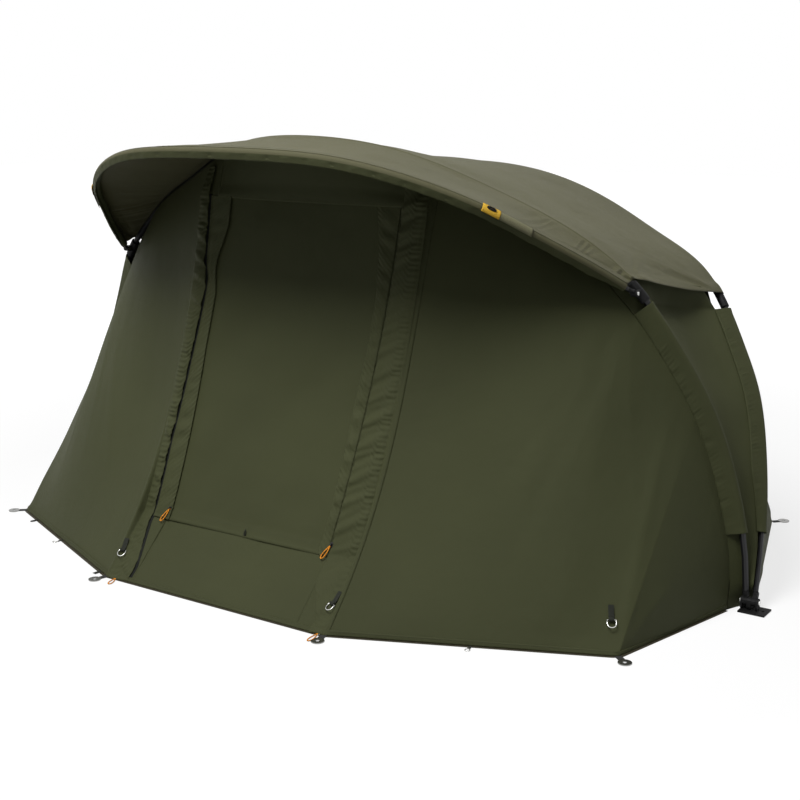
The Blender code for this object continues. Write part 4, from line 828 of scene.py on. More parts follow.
# %% Pockets
POCKET_WAVE = 0.071        # spacing of its slower waves
POCKET_MOUTH = 0.0016      # how far its two ends stand off the pole
POCKET_HEAD_GAP = 0.012
PUCKER = 0.0013            # height of the puckers along a sewn edge
SCALLOP = 0.0007           # how far its edge weaves in and out
PUCKER_RUN = 0.0145        # their spacing
PUCKER_SLANT = 0.5         # how far they lean along the pole as they run across the tail
FRONT_TAIL_ANGLE = math.radians(31)
REAR_TAIL_ANGLE = math.radians(72.5)
FRONT_TAIL_AIM = np.array((-math.cos(FRONT_TAIL_ANGLE), -math.sin(FRONT_TAIL_ANGLE), 0.0))
REAR_TAIL_AIM = np.array((-math.cos(REAR_TAIL_ANGLE), -math.sin(REAR_TAIL_ANGLE), 0.0))
FRONT_POCKET_END = FRONT_KNUCKLE - KNUCKLE_HALF_LENGTH - POCKET_HEAD_GAP
REAR_POCKET_END = REAR_KNUCKLE - KNUCKLE_HALF_LENGTH - POCKET_HEAD_GAP


def pocket_grid(rib, end, aim, seed):
    rng = np.random.default_rng(seed)
    places = np.linspace(POCKET_FOOT, end, int(360 * FINE))
    section = pocket_section(34, POCKET_TAIL, POCKET_RADIUS)
    tails = folded_room(places) if rib is REAR else np.full(len(places), POCKET_TAIL)
    shrink = (tails - POCKET_RADIUS) / (POCKET_TAIL - POCKET_RADIUS)
    beyond = np.maximum(section[:, 0] - POCKET_RADIUS, 0.0)
    forward = section[None, :, 0] - beyond[None, :] * (1 - shrink[:, None])
    first = rib.square(places, aim)
    second = np.cross(rib.tangent(places), first)
    centre = rib.at(places)
    grid = centre[:, None] + first[:, None] * forward[..., None] + second[:, None] * section[None, :, 1:]
    tail = ease(section[:, 0], POCKET_RADIUS, POCKET_TAIL * 0.75)
    tail = tail * (1 - ease(section[:, 0], POCKET_TAIL * 0.88, POCKET_TAIL))
    wobble = np.interp(places, np.linspace(POCKET_FOOT, end, 25), rng.uniform(-1.5, 1.5, 25))
    size = np.interp(places, np.linspace(POCKET_FOOT, end, 60), rng.uniform(0.0, 1.0, 60))[:, None]
    run = places[:, None] + section[None, :, 0] * PUCKER_SLANT
    ripple = np.sin(run * 2 * math.pi / PUCKER_RUN + wobble[:, None]) * size
    ripple = ripple + np.sin(run * 2 * math.pi / POCKET_WAVE + wobble[:, None] * 2) * 0.9
    grid = grid + normals(grid) * (ripple * tail[None, :] * PUCKER * 0.6)[..., None]
    scallop = np.sin(places * 2 * math.pi / PUCKER_RUN + wobble)[:, None] * size
    scallop = scallop * ease(section[:, 0], POCKET_TAIL * 0.7, POCKET_TAIL)[None, :]
    grid = grid + first[:, None] * (scallop * SCALLOP)[..., None]
    way = np.linspace(0, 1, len(places))
    ends = 1 - ease(way, 0.0, 0.03) * (1 - ease(way, 0.97, 1.0))
    away = grid - centre[:, None]
    near = 1 - ease(section[:, 0], POCKET_RADIUS, POCKET_TAIL * 0.6)
    return grid + unit(away) * (ends[:, None] * near[None, :] * POCKET_MOUTH)[..., None]


print("a pucker every", PUCKER_RUN * 1000, "mm")

# %% [markdown]
# ## A pocket on each lower pole
# The same section and puckers serve all four, with other seeds. Each rides its own rib.

# %% Four pockets
for label, side in SIDES:
    grid = pocket_grid(FRONT, FRONT_POCKET_END, FRONT_TAIL_AIM, 50 + side)
    front_sleeve = cloth("front_pocket_" + label, mirrored(grid, side), WALL)
    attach(front_sleeve, "front_rib")
    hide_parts("front_sleeve_" + label)
    grid = pocket_grid(REAR, REAR_POCKET_END, REAR_TAIL_AIM, 60 + side)
    rear_sleeve = cloth("rear_pocket_" + label, mirrored(grid, side), WALL)
    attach(rear_sleeve, "rear_rib")
    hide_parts("rear_sleeve_" + label)

# %% [markdown]
# ## Side panels
# A narrow panel hangs between the ribs, from the hub up to the roof's hem. It is sewn behind the
# front pocket and to the rear pocket's tail, so those two lines give its grid.

# %% Side panel lines
SIDE_SLACK = (0.35, 0.012)
SIDE_REAR_FOLD = (0.013, 0.008)
SIDE_FRONT_FOLD = (0.013, 0.007)
FOOT_HALF_DEPTH = 0.034
GUSSET_SHARE = 0.62
SIDE_TOP_SHARE = 0.80      # how far back along the roof's side hem the side panel reaches
SIDE_TUCK = np.array((-0.020, 0.0, 0.010))   # its top edge from that hem, under the roof
HUB_INSET = 0.0212         # cloth's corner at a hub, inside the poles
SIDE_FOOT = 0.050          # its lower end on the poles, from their hubs
HUB_CORNER = np.array((HUB_HALF_SPAN - HUB_INSET, FOOT_HALF_DEPTH / 2, HEM_HEIGHT))
HUB_STEP = np.array((0.0, 0.030, 0.0))


def rear_near_line(places):
    """Where the side panel is sewn to the rear pocket, ahead of the rear pole."""
    gap = np.linalg.norm(REAR.at(places) - FRONT.at(places), axis=-1)
    reach = np.minimum(folded_room(places) - CLOTH * 3, gap * GUSSET_SHARE)[:, None]
    return REAR.at(places) + REAR.square(places, REAR_TAIL_AIM) * reach


def side_grid(seed):
    """The right side panel: rows up between the ribs, columns from the front pocket to the rear."""
    behind_aim = np.array((FRONT_TAIL_AIM[1], -FRONT_TAIL_AIM[0], 0.0))
    share = np.linspace(0, 1, int(100 * FINE))
    front_at = SIDE_FOOT + (FRONT_POCKET_END - SIDE_FOOT) * share
    rear_at = SIDE_FOOT + (REAR_POCKET_END - SIDE_FOOT) * share
    near = FRONT.at(front_at) + FRONT.square(front_at, behind_aim) * (POCKET_RADIUS + ROOM)
    far = rear_near_line(rear_at)
    dip = (far - near)[:, 1] / 6
    # Over the pockets' ends it goes on to the roof's hem, and leaves a gap before the rear knuckle
    upper = np.linspace(0, 1, int(24 * FINE))[1:]
    upper_at = FRONT_POCKET_END + (FRONT_KNUCKLE + SHOULDER_START * 1.6 - FRONT_POCKET_END) * upper
    stand = POCKET_RADIUS + (KNUCKLE_RADIUS - POCKET_RADIUS) * ease(upper, 0.0, 0.3) + ROOM * 3
    upper_near = FRONT.at(upper_at) + FRONT.square(upper_at, behind_aim) * stand[:, None]
    hem_front, hem_rear = ROOF_CORNERS
    under_hem = hem_front + (hem_rear - hem_front) * SIDE_TOP_SHARE + SIDE_TUCK
    upper_far = far[-1] + (under_hem - far[-1]) * upper[:, None] ** 0.8
    near = np.vstack([HUB_CORNER, near, upper_near])
    far = np.vstack([HUB_CORNER + HUB_STEP, far, upper_far])
    dip = np.concatenate([[0.0], dip, dip[-1] * (1 - upper * 0.8)])
    rows = []
    for way in np.linspace(0, 1, int(60 * FINE)):
        sink = dip * 4 * way * (1 - way)
        rows.append(near + (far - near) * way - np.stack([sink, sink * 0, sink * 0], axis=1))
    grid = np.stack(rows, axis=1)
    out = normals(grid)
    if np.mean(out[:, :, 0]) < 0:
        out = -out
    edge = ease(np.linspace(0, 1, grid.shape[1]), 0.0, 0.15)
    edge = edge * (1 - ease(np.linspace(0, 1, grid.shape[1]), 0.85, 1.0))
    folded = swell(grid, out, *SIDE_SLACK, seed)
    top_front, top_rear = grid[int(len(share) * 0.98), 0], grid[len(share) - 1, -1]
    on_front = [grid[int(grid.shape[0] * k), 0] for k in (0.9, 0.75, 0.6, 0.45)]
    on_rear = [grid[int(grid.shape[0] * k), -1] for k in (0.8, 0.6, 0.4)]
    folded = fan(folded, top_rear, on_front, *SIDE_REAR_FOLD, seed)
    folded = fan(folded, top_front, on_rear, *SIDE_FRONT_FOLD, seed + 1)
    return grid + (folded - grid) * edge[None, :, None]


print("the side panel reaches the hub at", HUB_CORNER.round(3))

# %% [markdown]
# ## Cloth that spans a hinge
# The panel is held by both ribs and is built once for each side.

# %% Side panels
for label, side in SIDES:
    grid = side_grid(70 + side)
    panel = cloth("side_cloth_" + label, mirrored(grid, side), WALL)
    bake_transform(panel)
    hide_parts("side_panel_" + label)

# %% [markdown]
# ## Rear wall
# The rear wall hangs from the rear rib to a hem with three pegs. The photograph doesn't show it, so
# its form follows from the rib and the pegs. Rulings, which are straight lines from rib to hem, sweep
# round it, and a notch leaves room behind each knuckle.

# %% Rear wall lines
REAR_CORNER_HALF_WIDTH = 1.168
REAR_CORNER_REACH = 0.892
REAR_MIDDLE_HALF_WIDTH = 0.450
REAR_DEPTH = 1.120
REAR_SAG = 0.060
CANOPY_START = 0.095
BOW_POWER = 1.6
REAR_RULING_SHARES = ((0.035, 0.0), (0.14, 0.55), (0.26, 0.88), (0.36, 1.0), (0.50, 1.18),
                      (0.66, 1.55), (0.80, 2.0), (1.0, 3.0))
REAR_HEM = [np.array((HUB_HALF_SPAN + REAR_OUTSET - POCKET_RADIUS, FOOT_HALF_DEPTH + POCKET_RADIUS,
                      HEM_HEIGHT)),
            np.array((REAR_CORNER_HALF_WIDTH, REAR_CORNER_REACH, HEM_HEIGHT)),
            np.array((REAR_MIDDLE_HALF_WIDTH, REAR_DEPTH, HEM_HEIGHT)),
            np.array((0.0, REAR_DEPTH, HEM_HEIGHT))]
VENT_START = REAR_POCKET_END - 0.010       # notch in the rear wall behind the bare rear knuckle
VENT_END = REAR_KNUCKLE + 0.155
VENT_DEPTH = 0.170


def along_line(line, corner):
    """A point on a line of corners, counted in corners from its start."""
    return np.array([np.interp(corner, range(len(line)), [p[k] for p in line]) for k in range(3)])


def bow_share(way):
    fullest = 1 / (1 + BOW_POWER)
    return way * (1 - way) ** BOW_POWER / (fullest * (1 - fullest) ** BOW_POWER)


def rear_column(span, ways):
    index = min(int(span), len(REAR_RULING_SHARES) - 2)
    part = span - index
    low, high = np.array(REAR_RULING_SHARES[index]), np.array(REAR_RULING_SHARES[index + 1])
    share, corner = low * (1 - part) + high * part
    place = share * REAR.length
    foot = along_line(REAR_HEM, corner)
    knuckle_top = REAR_KNUCKLE + KNUCKLE_HALF_LENGTH
    lift = ease(place, knuckle_top, knuckle_top + CANOPY_START)
    reach = POCKET_RADIUS * (1 - lift) + REAR_POLE_RADIUS * lift + ROOM
    head = REAR.at(place) + REAR_NORMAL * reach
    chord = head - foot
    size = np.linalg.norm(chord)
    vent = ease(place, VENT_START, VENT_START + 0.030) * (1 - ease(place, VENT_END - 0.090, VENT_END))
    ways = ways * (1 - vent * VENT_DEPTH / size)
    bow = REAR_SAG * size / RISE * bow_share(ways)
    return foot + chord * ways[:, None] - np.stack([bow * 0, bow, bow * 0], axis=1)


print("rear pegs at", [corner.round(2).tolist() for corner in REAR_HEM[1:]])

# %% [markdown]
# ## Folds of the rear wall
# Folds run from the pegs up to the rib, along each peg's pull.

# %% Rear wall grid
REAR_COLUMNS = (24, 26, 26, 34, 46, 42, 46)    # from each ruling to the next
REAR_SLACK = (0.6, 0.016)
CORNER_PEG_FOLD = (0.020, 0.007)
MIDDLE_PEG_FOLD = (0.020, 0.006)

rear_ways = np.linspace(0, 1, int(110 * FINE))
rear_spans = np.concatenate([np.linspace(k, k + 1, n, endpoint=False) for k, n in
                             enumerate([int(m * FINE) for m in REAR_COLUMNS])] + [[7.0]])
rear_half = np.stack([rear_column(span, rear_ways) for span in rear_spans], axis=1)
rear_grid = facing(whole(rear_half), axis=1)
row = np.linspace(0, 1, rear_grid.shape[0])
free = ease(row, 0.0, 0.08) * (1 - ease(row, 0.90, 1.0))
folded = swell(rear_grid, normals(rear_grid), *REAR_SLACK, 8)
for side in (1, -1):
    corner = REAR_HEM[1] * (side, 1, 1)
    targets = [REAR.at(REAR.length * k) * (side, 1, 1) for k in (0.30, 0.38, 0.46, 0.55, 0.66, 0.8)]
    folded = fan(folded, corner, targets, *CORNER_PEG_FOLD, 80 + side)
    middle = REAR_HEM[2] * (side, 1, 1)
    targets = [REAR.at(REAR.length * k) * (side, 1, 1) for k in (0.6, 0.75, 0.9)]
    folded = fan(folded, middle, targets, *MIDDLE_PEG_FOLD, 90 + side)
rear_grid = rear_grid + (folded - rear_grid) * free[:, None, None]
print("rear wall grid", rear_grid.shape[:2])

# %% [markdown]
# ## The rear wall in strips
# The wall is cut into strips, three on each side and one across the back, each a piece of its own.

# %% Rear wall pieces
STRIP_ENDS = (0, 24, 50, 76)
cuts = [int(end * FINE) for end in STRIP_ENDS]
count = rear_grid.shape[1] - 1
bounds = cuts + [count - c for c in cuts[::-1]]
for k, (first, last) in enumerate(zip(bounds, bounds[1:])):
    part = rear_grid[:, first:last + 1]
    foot = part[0].mean(axis=0) if first != cuts[-1] else np.array((0.0, 1.05, 0.0))
    name = "rear_cloth_" + ("back" if first == cuts[-1] else str(k))
    piece = cloth(name, part, WALL)
    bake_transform(piece)
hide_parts("rear_wall")

# %% [markdown]
# ## Front wall
# Seen from the side the door is bowed, because the ribs are. An arc between its head and its foot
# gives that, and a slider can then swing round the arc's centre. The hem goes from the door round
# the corner peg to the hub.

# %% Front hem and door line
DOOR_FOOT_HALF_WIDTH = 0.444
DOOR_FOOT_REACH = 0.885
CORNER_HALF_WIDTH = 1.222
CORNER_REACH = 0.544
HEADER_DEPTH = 0.190
DOOR_TOP_REACH = 0.356
SKIRT_HEIGHT = 0.180
SKIRT_REACH = 0.700
DOOR_SAG = 0.041
DOOR_TOP_HEIGHT = FRONT_HEIGHT - HEADER_DEPTH
DOOR_TOP = np.array((-DOOR_TOP_REACH, DOOR_TOP_HEIGHT))
DOOR_FOOT = np.array((-SKIRT_REACH, SKIRT_HEIGHT))
DOOR_CHORD = float(np.linalg.norm(DOOR_TOP - DOOR_FOOT))
DOOR_RADIUS = DOOR_CHORD ** 2 / (8 * DOOR_SAG) + DOOR_SAG / 2
DOOR_UP = (DOOR_TOP - DOOR_FOOT) / DOOR_CHORD
DOOR_OUT = np.array((-DOOR_UP[1], DOOR_UP[0]))
DOOR_CENTRE = (DOOR_TOP + DOOR_FOOT) / 2 + DOOR_OUT * (DOOR_RADIUS - DOOR_SAG)
POCKET_REACH = FRONT_TAIL_AIM * POCKET_TAIL
FRONT_HEM = [np.array((0.0, -DOOR_FOOT_REACH, HEM_HEIGHT)),
             np.array((DOOR_FOOT_HALF_WIDTH, -DOOR_FOOT_REACH, HEM_HEIGHT)),
             np.array((CORNER_HALF_WIDTH, -CORNER_REACH, HEM_HEIGHT)),
             np.array((HUB_HALF_SPAN + POCKET_REACH[0], POCKET_REACH[1], HEM_HEIGHT))]
print(f"door arc radius {DOOR_RADIUS:.3f} m")

# %% [markdown]
# ## Where the wall meets the arch
# The wall is sewn under the pockets' tails below and to the front of the arch above. One line eases
# from the one to the other past the knuckle, so no piece has to be patched there.

# %% The wall's top edge
SEW_OVERLAP = 0.008        # front wall under a pocket's tail


def top_edge(place):
    """Where the front wall is sewn: under a pocket's tail, or to the arch's front."""
    place = np.asarray(place, float)
    centre = FRONT.at(place)
    aim = FRONT.square(place, FRONT_TAIL_AIM)
    under = 1 - ease(place, FRONT_POCKET_END - SEW_OVERLAP, FRONT_POCKET_END)[..., None]
    low = aim * (POCKET_TAIL + ROOM - SEW_OVERLAP * under)
    low = low - np.cross(FRONT.tangent(place), aim) * (CLOTH * 2 * under)
    high = np.array((0.0, -1.0, 0.0)) * (FRONT_POLE_RADIUS + ROOM * 2)
    lift = ease(place, FRONT_KNUCKLE + KNUCKLE_HALF_LENGTH, FRONT_KNUCKLE + CANOPY_START * 3)[..., None]
    reach = np.linalg.norm(low, axis=-1, keepdims=True) * (1 - lift) + np.linalg.norm(high) * lift
    return centre + unit(low * (1 - lift) + high * lift) * reach


ARCH_PLACES = np.linspace(FRONT_KNUCKLE, FRONT.length, 300)
ARCH_WIDTHS = FRONT.at(ARCH_PLACES)[:, 0]
ARCH_EDGE = top_edge(ARCH_PLACES)


def arch_edge(x):
    """How far back and how high the wall's top edge is at a distance from the middle."""
    place = -np.abs(np.asarray(x, float))
    return np.interp(place, -ARCH_WIDTHS, ARCH_EDGE[:, 1]), np.interp(place, -ARCH_WIDTHS, ARCH_EDGE[:, 2])


def face(x, height):
    """How far back the wall is at the door, beside it, under it and over it."""
    height = np.asarray(height, float)
    rise = np.clip(height, SKIRT_HEIGHT, DOOR_TOP_HEIGHT) - DOOR_CENTRE[1]
    door = DOOR_CENTRE[0] + np.sqrt(DOOR_RADIUS ** 2 - rise ** 2)
    way = (height - HEM_HEIGHT) / (SKIRT_HEIGHT - HEM_HEIGHT)
    skirt = -(DOOR_FOOT_REACH + (SKIRT_REACH - DOOR_FOOT_REACH) * way)
    top_y, top_z = arch_edge(x)
    over = np.clip((height - DOOR_TOP_HEIGHT) / np.maximum(top_z - DOOR_TOP_HEIGHT, 0.001), 0.0, 1.0)
    header = -DOOR_TOP_REACH + (top_y + DOOR_TOP_REACH) * over
    return np.where(height < SKIRT_HEIGHT, skirt, np.where(height > DOOR_TOP_HEIGHT, header, door))


print("the door at mid height is at y", round(float(face(0.0, 0.7)), 3))

# %% [markdown]
# ## Lines of the zips
# The zips spread a little towards the top, and the storm flaps' outer seams run beside them. The
# door, the panels and the flaps all take their edges from these two lines.

# %% Zip and flap lines
ZIP_TOP_HALF_WIDTH = 0.372
ZIP_FOOT_HALF_WIDTH = 0.332
ZIP_WIDTH = 0.010
FLAP_HALF_WIDTH = 0.460


def zip_half_width(height):
    rise = (np.asarray(height, float) - SKIRT_HEIGHT) / (DOOR_TOP_HEIGHT - SKIRT_HEIGHT)
    return ZIP_FOOT_HALF_WIDTH + (ZIP_TOP_HALF_WIDTH - ZIP_FOOT_HALF_WIDTH) * np.clip(rise, 0.0, 1.0)


def flap_outer(height):
    rise = np.clip(np.asarray(height, float) / DOOR_TOP_HEIGHT, 0.0, 1.0)
    return DOOR_FOOT_HALF_WIDTH + (FLAP_HALF_WIDTH - DOOR_FOOT_HALF_WIDTH) * rise


print("at the foot", float(zip_half_width(0.2)), round(float(flap_outer(0.2)), 3))

# %% [markdown]
# ## Round the corner peg
# Beyond the flap the panel turns round the corner peg to the hub. Its rulings are pairs of a place on
# the rib and a place on the hem. A cubic between them avoids the kinks of straight steps.

# %% Rulings of a panel
RULING_SHARES = ((1.0, 0.0), (0.765, 1.0), (0.63, 1.42), (0.50, 1.72), (0.36, 1.90), (0.27, 2.0),
                 (0.17, 2.10), (0.10, 2.35), (0.035, 3.0))
SLACK_CORNERS = (1.0, 1.8)


def smooth_table(table, span):
    """A table of rulings read between its rows by a cubic that passes through them."""
    table = np.array(table, float)
    slope = np.gradient(table, axis=0)
    index = min(int(span), len(table) - 2)
    t = span - index
    return (table[index] * (2 * t ** 3 - 3 * t * t + 1) + slope[index] * (t ** 3 - 2 * t * t + t)
            + table[index + 1] * (3 * t * t - 2 * t ** 3) + slope[index + 1] * (t ** 3 - t * t))


flap_place = np.interp(-FLAP_HALF_WIDTH, -ARCH_WIDTHS, ARCH_PLACES)
FLAP_HEAD = top_edge(flap_place)
FLAP_FOOT = FRONT_HEM[1]
PANEL_RULINGS = [(flap_place / FRONT.length, 1.0)] + [r for r in RULING_SHARES[2:]]
fullest = 1 / (1 + BOW_POWER)
flap_chord = FLAP_HEAD - FLAP_FOOT
bow_point = FLAP_FOOT + flap_chord * fullest
SIDE_BOW = ((face(FLAP_HALF_WIDTH, bow_point[2]) - bow_point[1]) * flap_chord[2]
            / np.linalg.norm(flap_chord) ** 2)


def wall_column(span, ways):
    share, corner = smooth_table(PANEL_RULINGS, span)
    foot = along_line(FRONT_HEM, corner)
    head = top_edge(share * FRONT.length)
    chord = head - foot
    size = np.linalg.norm(chord)
    inward = unit((0.0, abs(chord[2]), -chord[1]))
    slack = 1 - ease(corner, *SLACK_CORNERS)
    return foot + chord * ways[:, None] + inward * (SIDE_BOW * size * slack * bow_share(ways))[:, None]


print("bow of the panel beside the door", round(float(SIDE_BOW), 4))

# %% [markdown]
# ## A front panel in one grid
# Columns run from the zip to the hub and rows from the hem to the rib, level with the door's rows.
# So the panel meets the door's plane without a step. Tension folds leave the corner peg.

# %% Front panel grid
PANEL_SLACK = (0.75, 0.010)
PEG_FOLD = (0.022, 0.0040)
ARCH_FOLD = (0.024, 0.0030)
levels = np.concatenate([np.linspace(HEM_HEIGHT, SKIRT_HEIGHT, int(28 * FINE), endpoint=False),
                         np.linspace(SKIRT_HEIGHT, DOOR_TOP_HEIGHT, int(140 * FINE))])
over_door = np.linspace(0, 1, int(22 * FINE))[1:]


def front_grid(seed):
    """The right panel: columns from the zip to the hub, rows from the hem to the rib."""
    columns = []
    shares = np.linspace(0, 1, 14, endpoint=False)
    for share in shares:
        inner = zip_half_width(levels) + ZIP_WIDTH * 0.35
        x = inner + (flap_outer(levels) - inner) * share
        top_x = ZIP_TOP_HALF_WIDTH + ZIP_WIDTH * 0.35
        top_x = top_x + (FLAP_HALF_WIDTH - top_x) * share
        top_y, top_z = arch_edge(top_x)
        z = DOOR_TOP_HEIGHT + (top_z - DOOR_TOP_HEIGHT) * over_door
        y = -DOOR_TOP_REACH + (top_y + DOOR_TOP_REACH) * over_door
        low = np.stack([x, face(x, levels), levels], axis=-1)
        high = np.stack([np.full_like(z, top_x), y, z], axis=-1)
        columns.append(np.vstack([low, high]))
    ways = (levels - FLAP_FOOT[2]) / (FLAP_HEAD[2] - FLAP_FOOT[2])
    ways = np.concatenate([ways, ways[-1] + (1 - ways[-1]) * over_door])
    spans = np.linspace(0, len(PANEL_RULINGS) - 1, int(210 * FINE))
    columns += [wall_column(span, ways) for span in spans]
    grid = np.stack(columns, axis=1)
    row = np.linspace(0, 1, grid.shape[0])
    column = np.concatenate([shares * 0.1, 0.1 + 0.9 * spans / spans[-1]])
    held = ease(row, 0.0, 0.06) * (1 - ease(row, 0.90, 1.0))
    side = ease(column, 0.06, 0.20) * (1 - ease(column, 0.93, 1.0))
    folded = swell(grid, normals(grid), *PANEL_SLACK, seed)
    corner = FRONT_HEM[2]
    tops = [top_edge(FRONT.length * k) for k in (0.13, 0.22, 0.33, 0.45, 0.58, 0.70)]
    folded = fan(folded, corner, tops, *PEG_FOLD, seed + 1)
    feet = [along_line(FRONT_HEM, k) for k in (1.2, 1.5, 1.8, 2.2)]
    folded = fan(folded, tops[3], feet, *ARCH_FOLD, seed + 2)
    return grid + (folded - grid) * (held[:, None] * side[None, :])[..., None]


print("rows up a panel:", len(levels) + len(over_door))

# %% [markdown]
# ## Both front panels
# The left panel mirrors the right one but has its own folds, as the seed differs.

# %% Front panels
for label, side in SIDES:
    grid = front_grid(100 + side)
    panel = front_piece(cloth("front_cloth_" + label, mirrored(grid, side), WALL))
    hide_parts("front_panel_" + label)

# %% [markdown]
# ## The door
# A flat cloth between the zips laps over the skirt and swings on its top edge. It rides one body of
# its own, as a door that rolls up would need many.

# %% Door
DOOR_SLACK = (0.5, 0.009)
DOOR_FOLD = (0.022, 0.0022)
LAP_RUN = 0.030            # height over which the door comes forward to its lap
DOOR_LAP = 0.010           # door over the skirt
DOOR_LAP_LIFT = 0.004


def sheet_between(left_x, right_x, heights, columns, lift=0.0):
    """A part of the wall between two lines of x, at a lift in front of it."""
    ways = np.linspace(0, 1, columns)[None, :]
    x = np.asarray(left_x)[:, None] * (1 - ways) + np.asarray(right_x)[:, None] * ways
    z = np.repeat(np.asarray(heights)[:, None], columns, axis=1)
    return np.stack([x, face(x, z) - lift, z], axis=-1)


door_levels = np.linspace(SKIRT_HEIGHT - DOOR_LAP, DOOR_TOP_HEIGHT - ROOM * 2, int(170 * FINE))
door_half = zip_half_width(door_levels) - ZIP_WIDTH * 0.35
door_grid = sheet_between(-door_half, door_half, door_levels, int(150 * FINE))
column = np.abs(np.linspace(-1, 1, door_grid.shape[1]))
row = np.linspace(0, 1, door_grid.shape[0])
free = (ease(row, 0.0, 0.10) * (1 - ease(row, 0.92, 1.0)))[:, None] * (1 - ease(column, 0.86, 1.0))[None, :]
folded = swell(door_grid, normals(door_grid), *DOOR_SLACK, 31)
for side in (1, -1):
    foot = np.array((ZIP_FOOT_HALF_WIDTH * side, face(0, SKIRT_HEIGHT), SKIRT_HEIGHT))
    tops = [np.array((ZIP_TOP_HALF_WIDTH * k, -DOOR_TOP_REACH, DOOR_TOP_HEIGHT)) for k in (-0.7, -0.2, 0.4)]
    folded = fan(folded, foot, tops, *DOOR_FOLD, 33 + side)
lap = (1 - ease(door_levels, SKIRT_HEIGHT, SKIRT_HEIGHT + LAP_RUN)) * DOOR_LAP_LIFT
door_grid = door_grid + (folded - door_grid) * free[..., None]
door_grid[:, :, 1] -= lap[:, None]
door = front_piece(cloth("door_cloth", door_grid, WALL), "door")
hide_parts("door_panel")

# %% [markdown]
# ## The skirt
# A low strip stays under the open door and keeps ground water out.

# %% Skirt
SKIRT_SLACK = (0.25, 0.004)
skirt_levels = np.linspace(HEM_HEIGHT, SKIRT_HEIGHT - ROOM, int(44 * FINE))
skirt_half = np.full_like(skirt_levels, ZIP_FOOT_HALF_WIDTH + ZIP_WIDTH * 0.35)
skirt_grid = sheet_between(-skirt_half, skirt_half, skirt_levels, int(150 * FINE))
free = ease(np.linspace(0, 1, len(skirt_levels)), 0.0, 0.3)
folded = swell(skirt_grid, normals(skirt_grid), *SKIRT_SLACK, 35)
skirt_grid = skirt_grid + (folded - skirt_grid) * free[:, None, None]
skirt = front_piece(cloth("skirt_cloth", skirt_grid, WALL))
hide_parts("door_skirt")

# %% [markdown]
# ## The header
# The header fills the arch over the door and laps over the door's head.

# %% Header
HEADER_LAP = 0.012         # header over the door
HEADER_LAP_LIFT = 0.007
header_x = np.linspace(-1, 1, int(120 * FINE)) * (ZIP_TOP_HALF_WIDTH + ZIP_WIDTH * 0.35)
top_y, top_z = arch_edge(header_x)
header_rows = []
for way in np.linspace(-HEADER_LAP / HEADER_DEPTH, 1, int(40 * FINE)):
    z = DOOR_TOP_HEIGHT + (top_z - DOOR_TOP_HEIGHT) * way
    lift = HEADER_LAP_LIFT * (1 - ease(way, 0.0, 0.25))
    y = -DOOR_TOP_REACH + (top_y + DOOR_TOP_REACH) * max(way, 0.0) - lift
    header_rows.append(np.stack([header_x, y, z], axis=-1))
header_grid = np.array(header_rows)
header = cloth("header_cloth", header_grid, WALL)
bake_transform(header)
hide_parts("door_header")

# %% [markdown]
# ## Storm flaps
# A doubled strip covers each zip from its sewn outer edge. Being sewn on one side only it puffs out
# and puckers at its seams, so four ruffles of other scales are added up. Its free edge wanders,
# and is given as heights and half widths.

# %% Storm flap
FLAP_LIFT = 0.005          # storm flap over the wall
FLAP_PUFF = 0.012
FLAP_EASE = 0.150
FLAP_SEAM = 0.036          # width of the seam tape on a storm flap
FLAP_TOP_GAP = 0.010       # storm flaps' upper ends under the arch
SLIT_ROOM = 0.0005         # right storm flap's free edge past the zip's middle
FLAP_EDGE_LEFT = ((0.000, 0.352), (0.040, 0.350), (0.158, 0.398), (0.403, 0.410), (0.656, 0.402),
                  (0.894, 0.388), (0.930, 0.388), (0.990, 0.405), (1.058, 0.409), (1.211, 0.414))


def table_line(table, height):
    heights, widths = zip(*table)
    return np.interp(height, heights, widths)


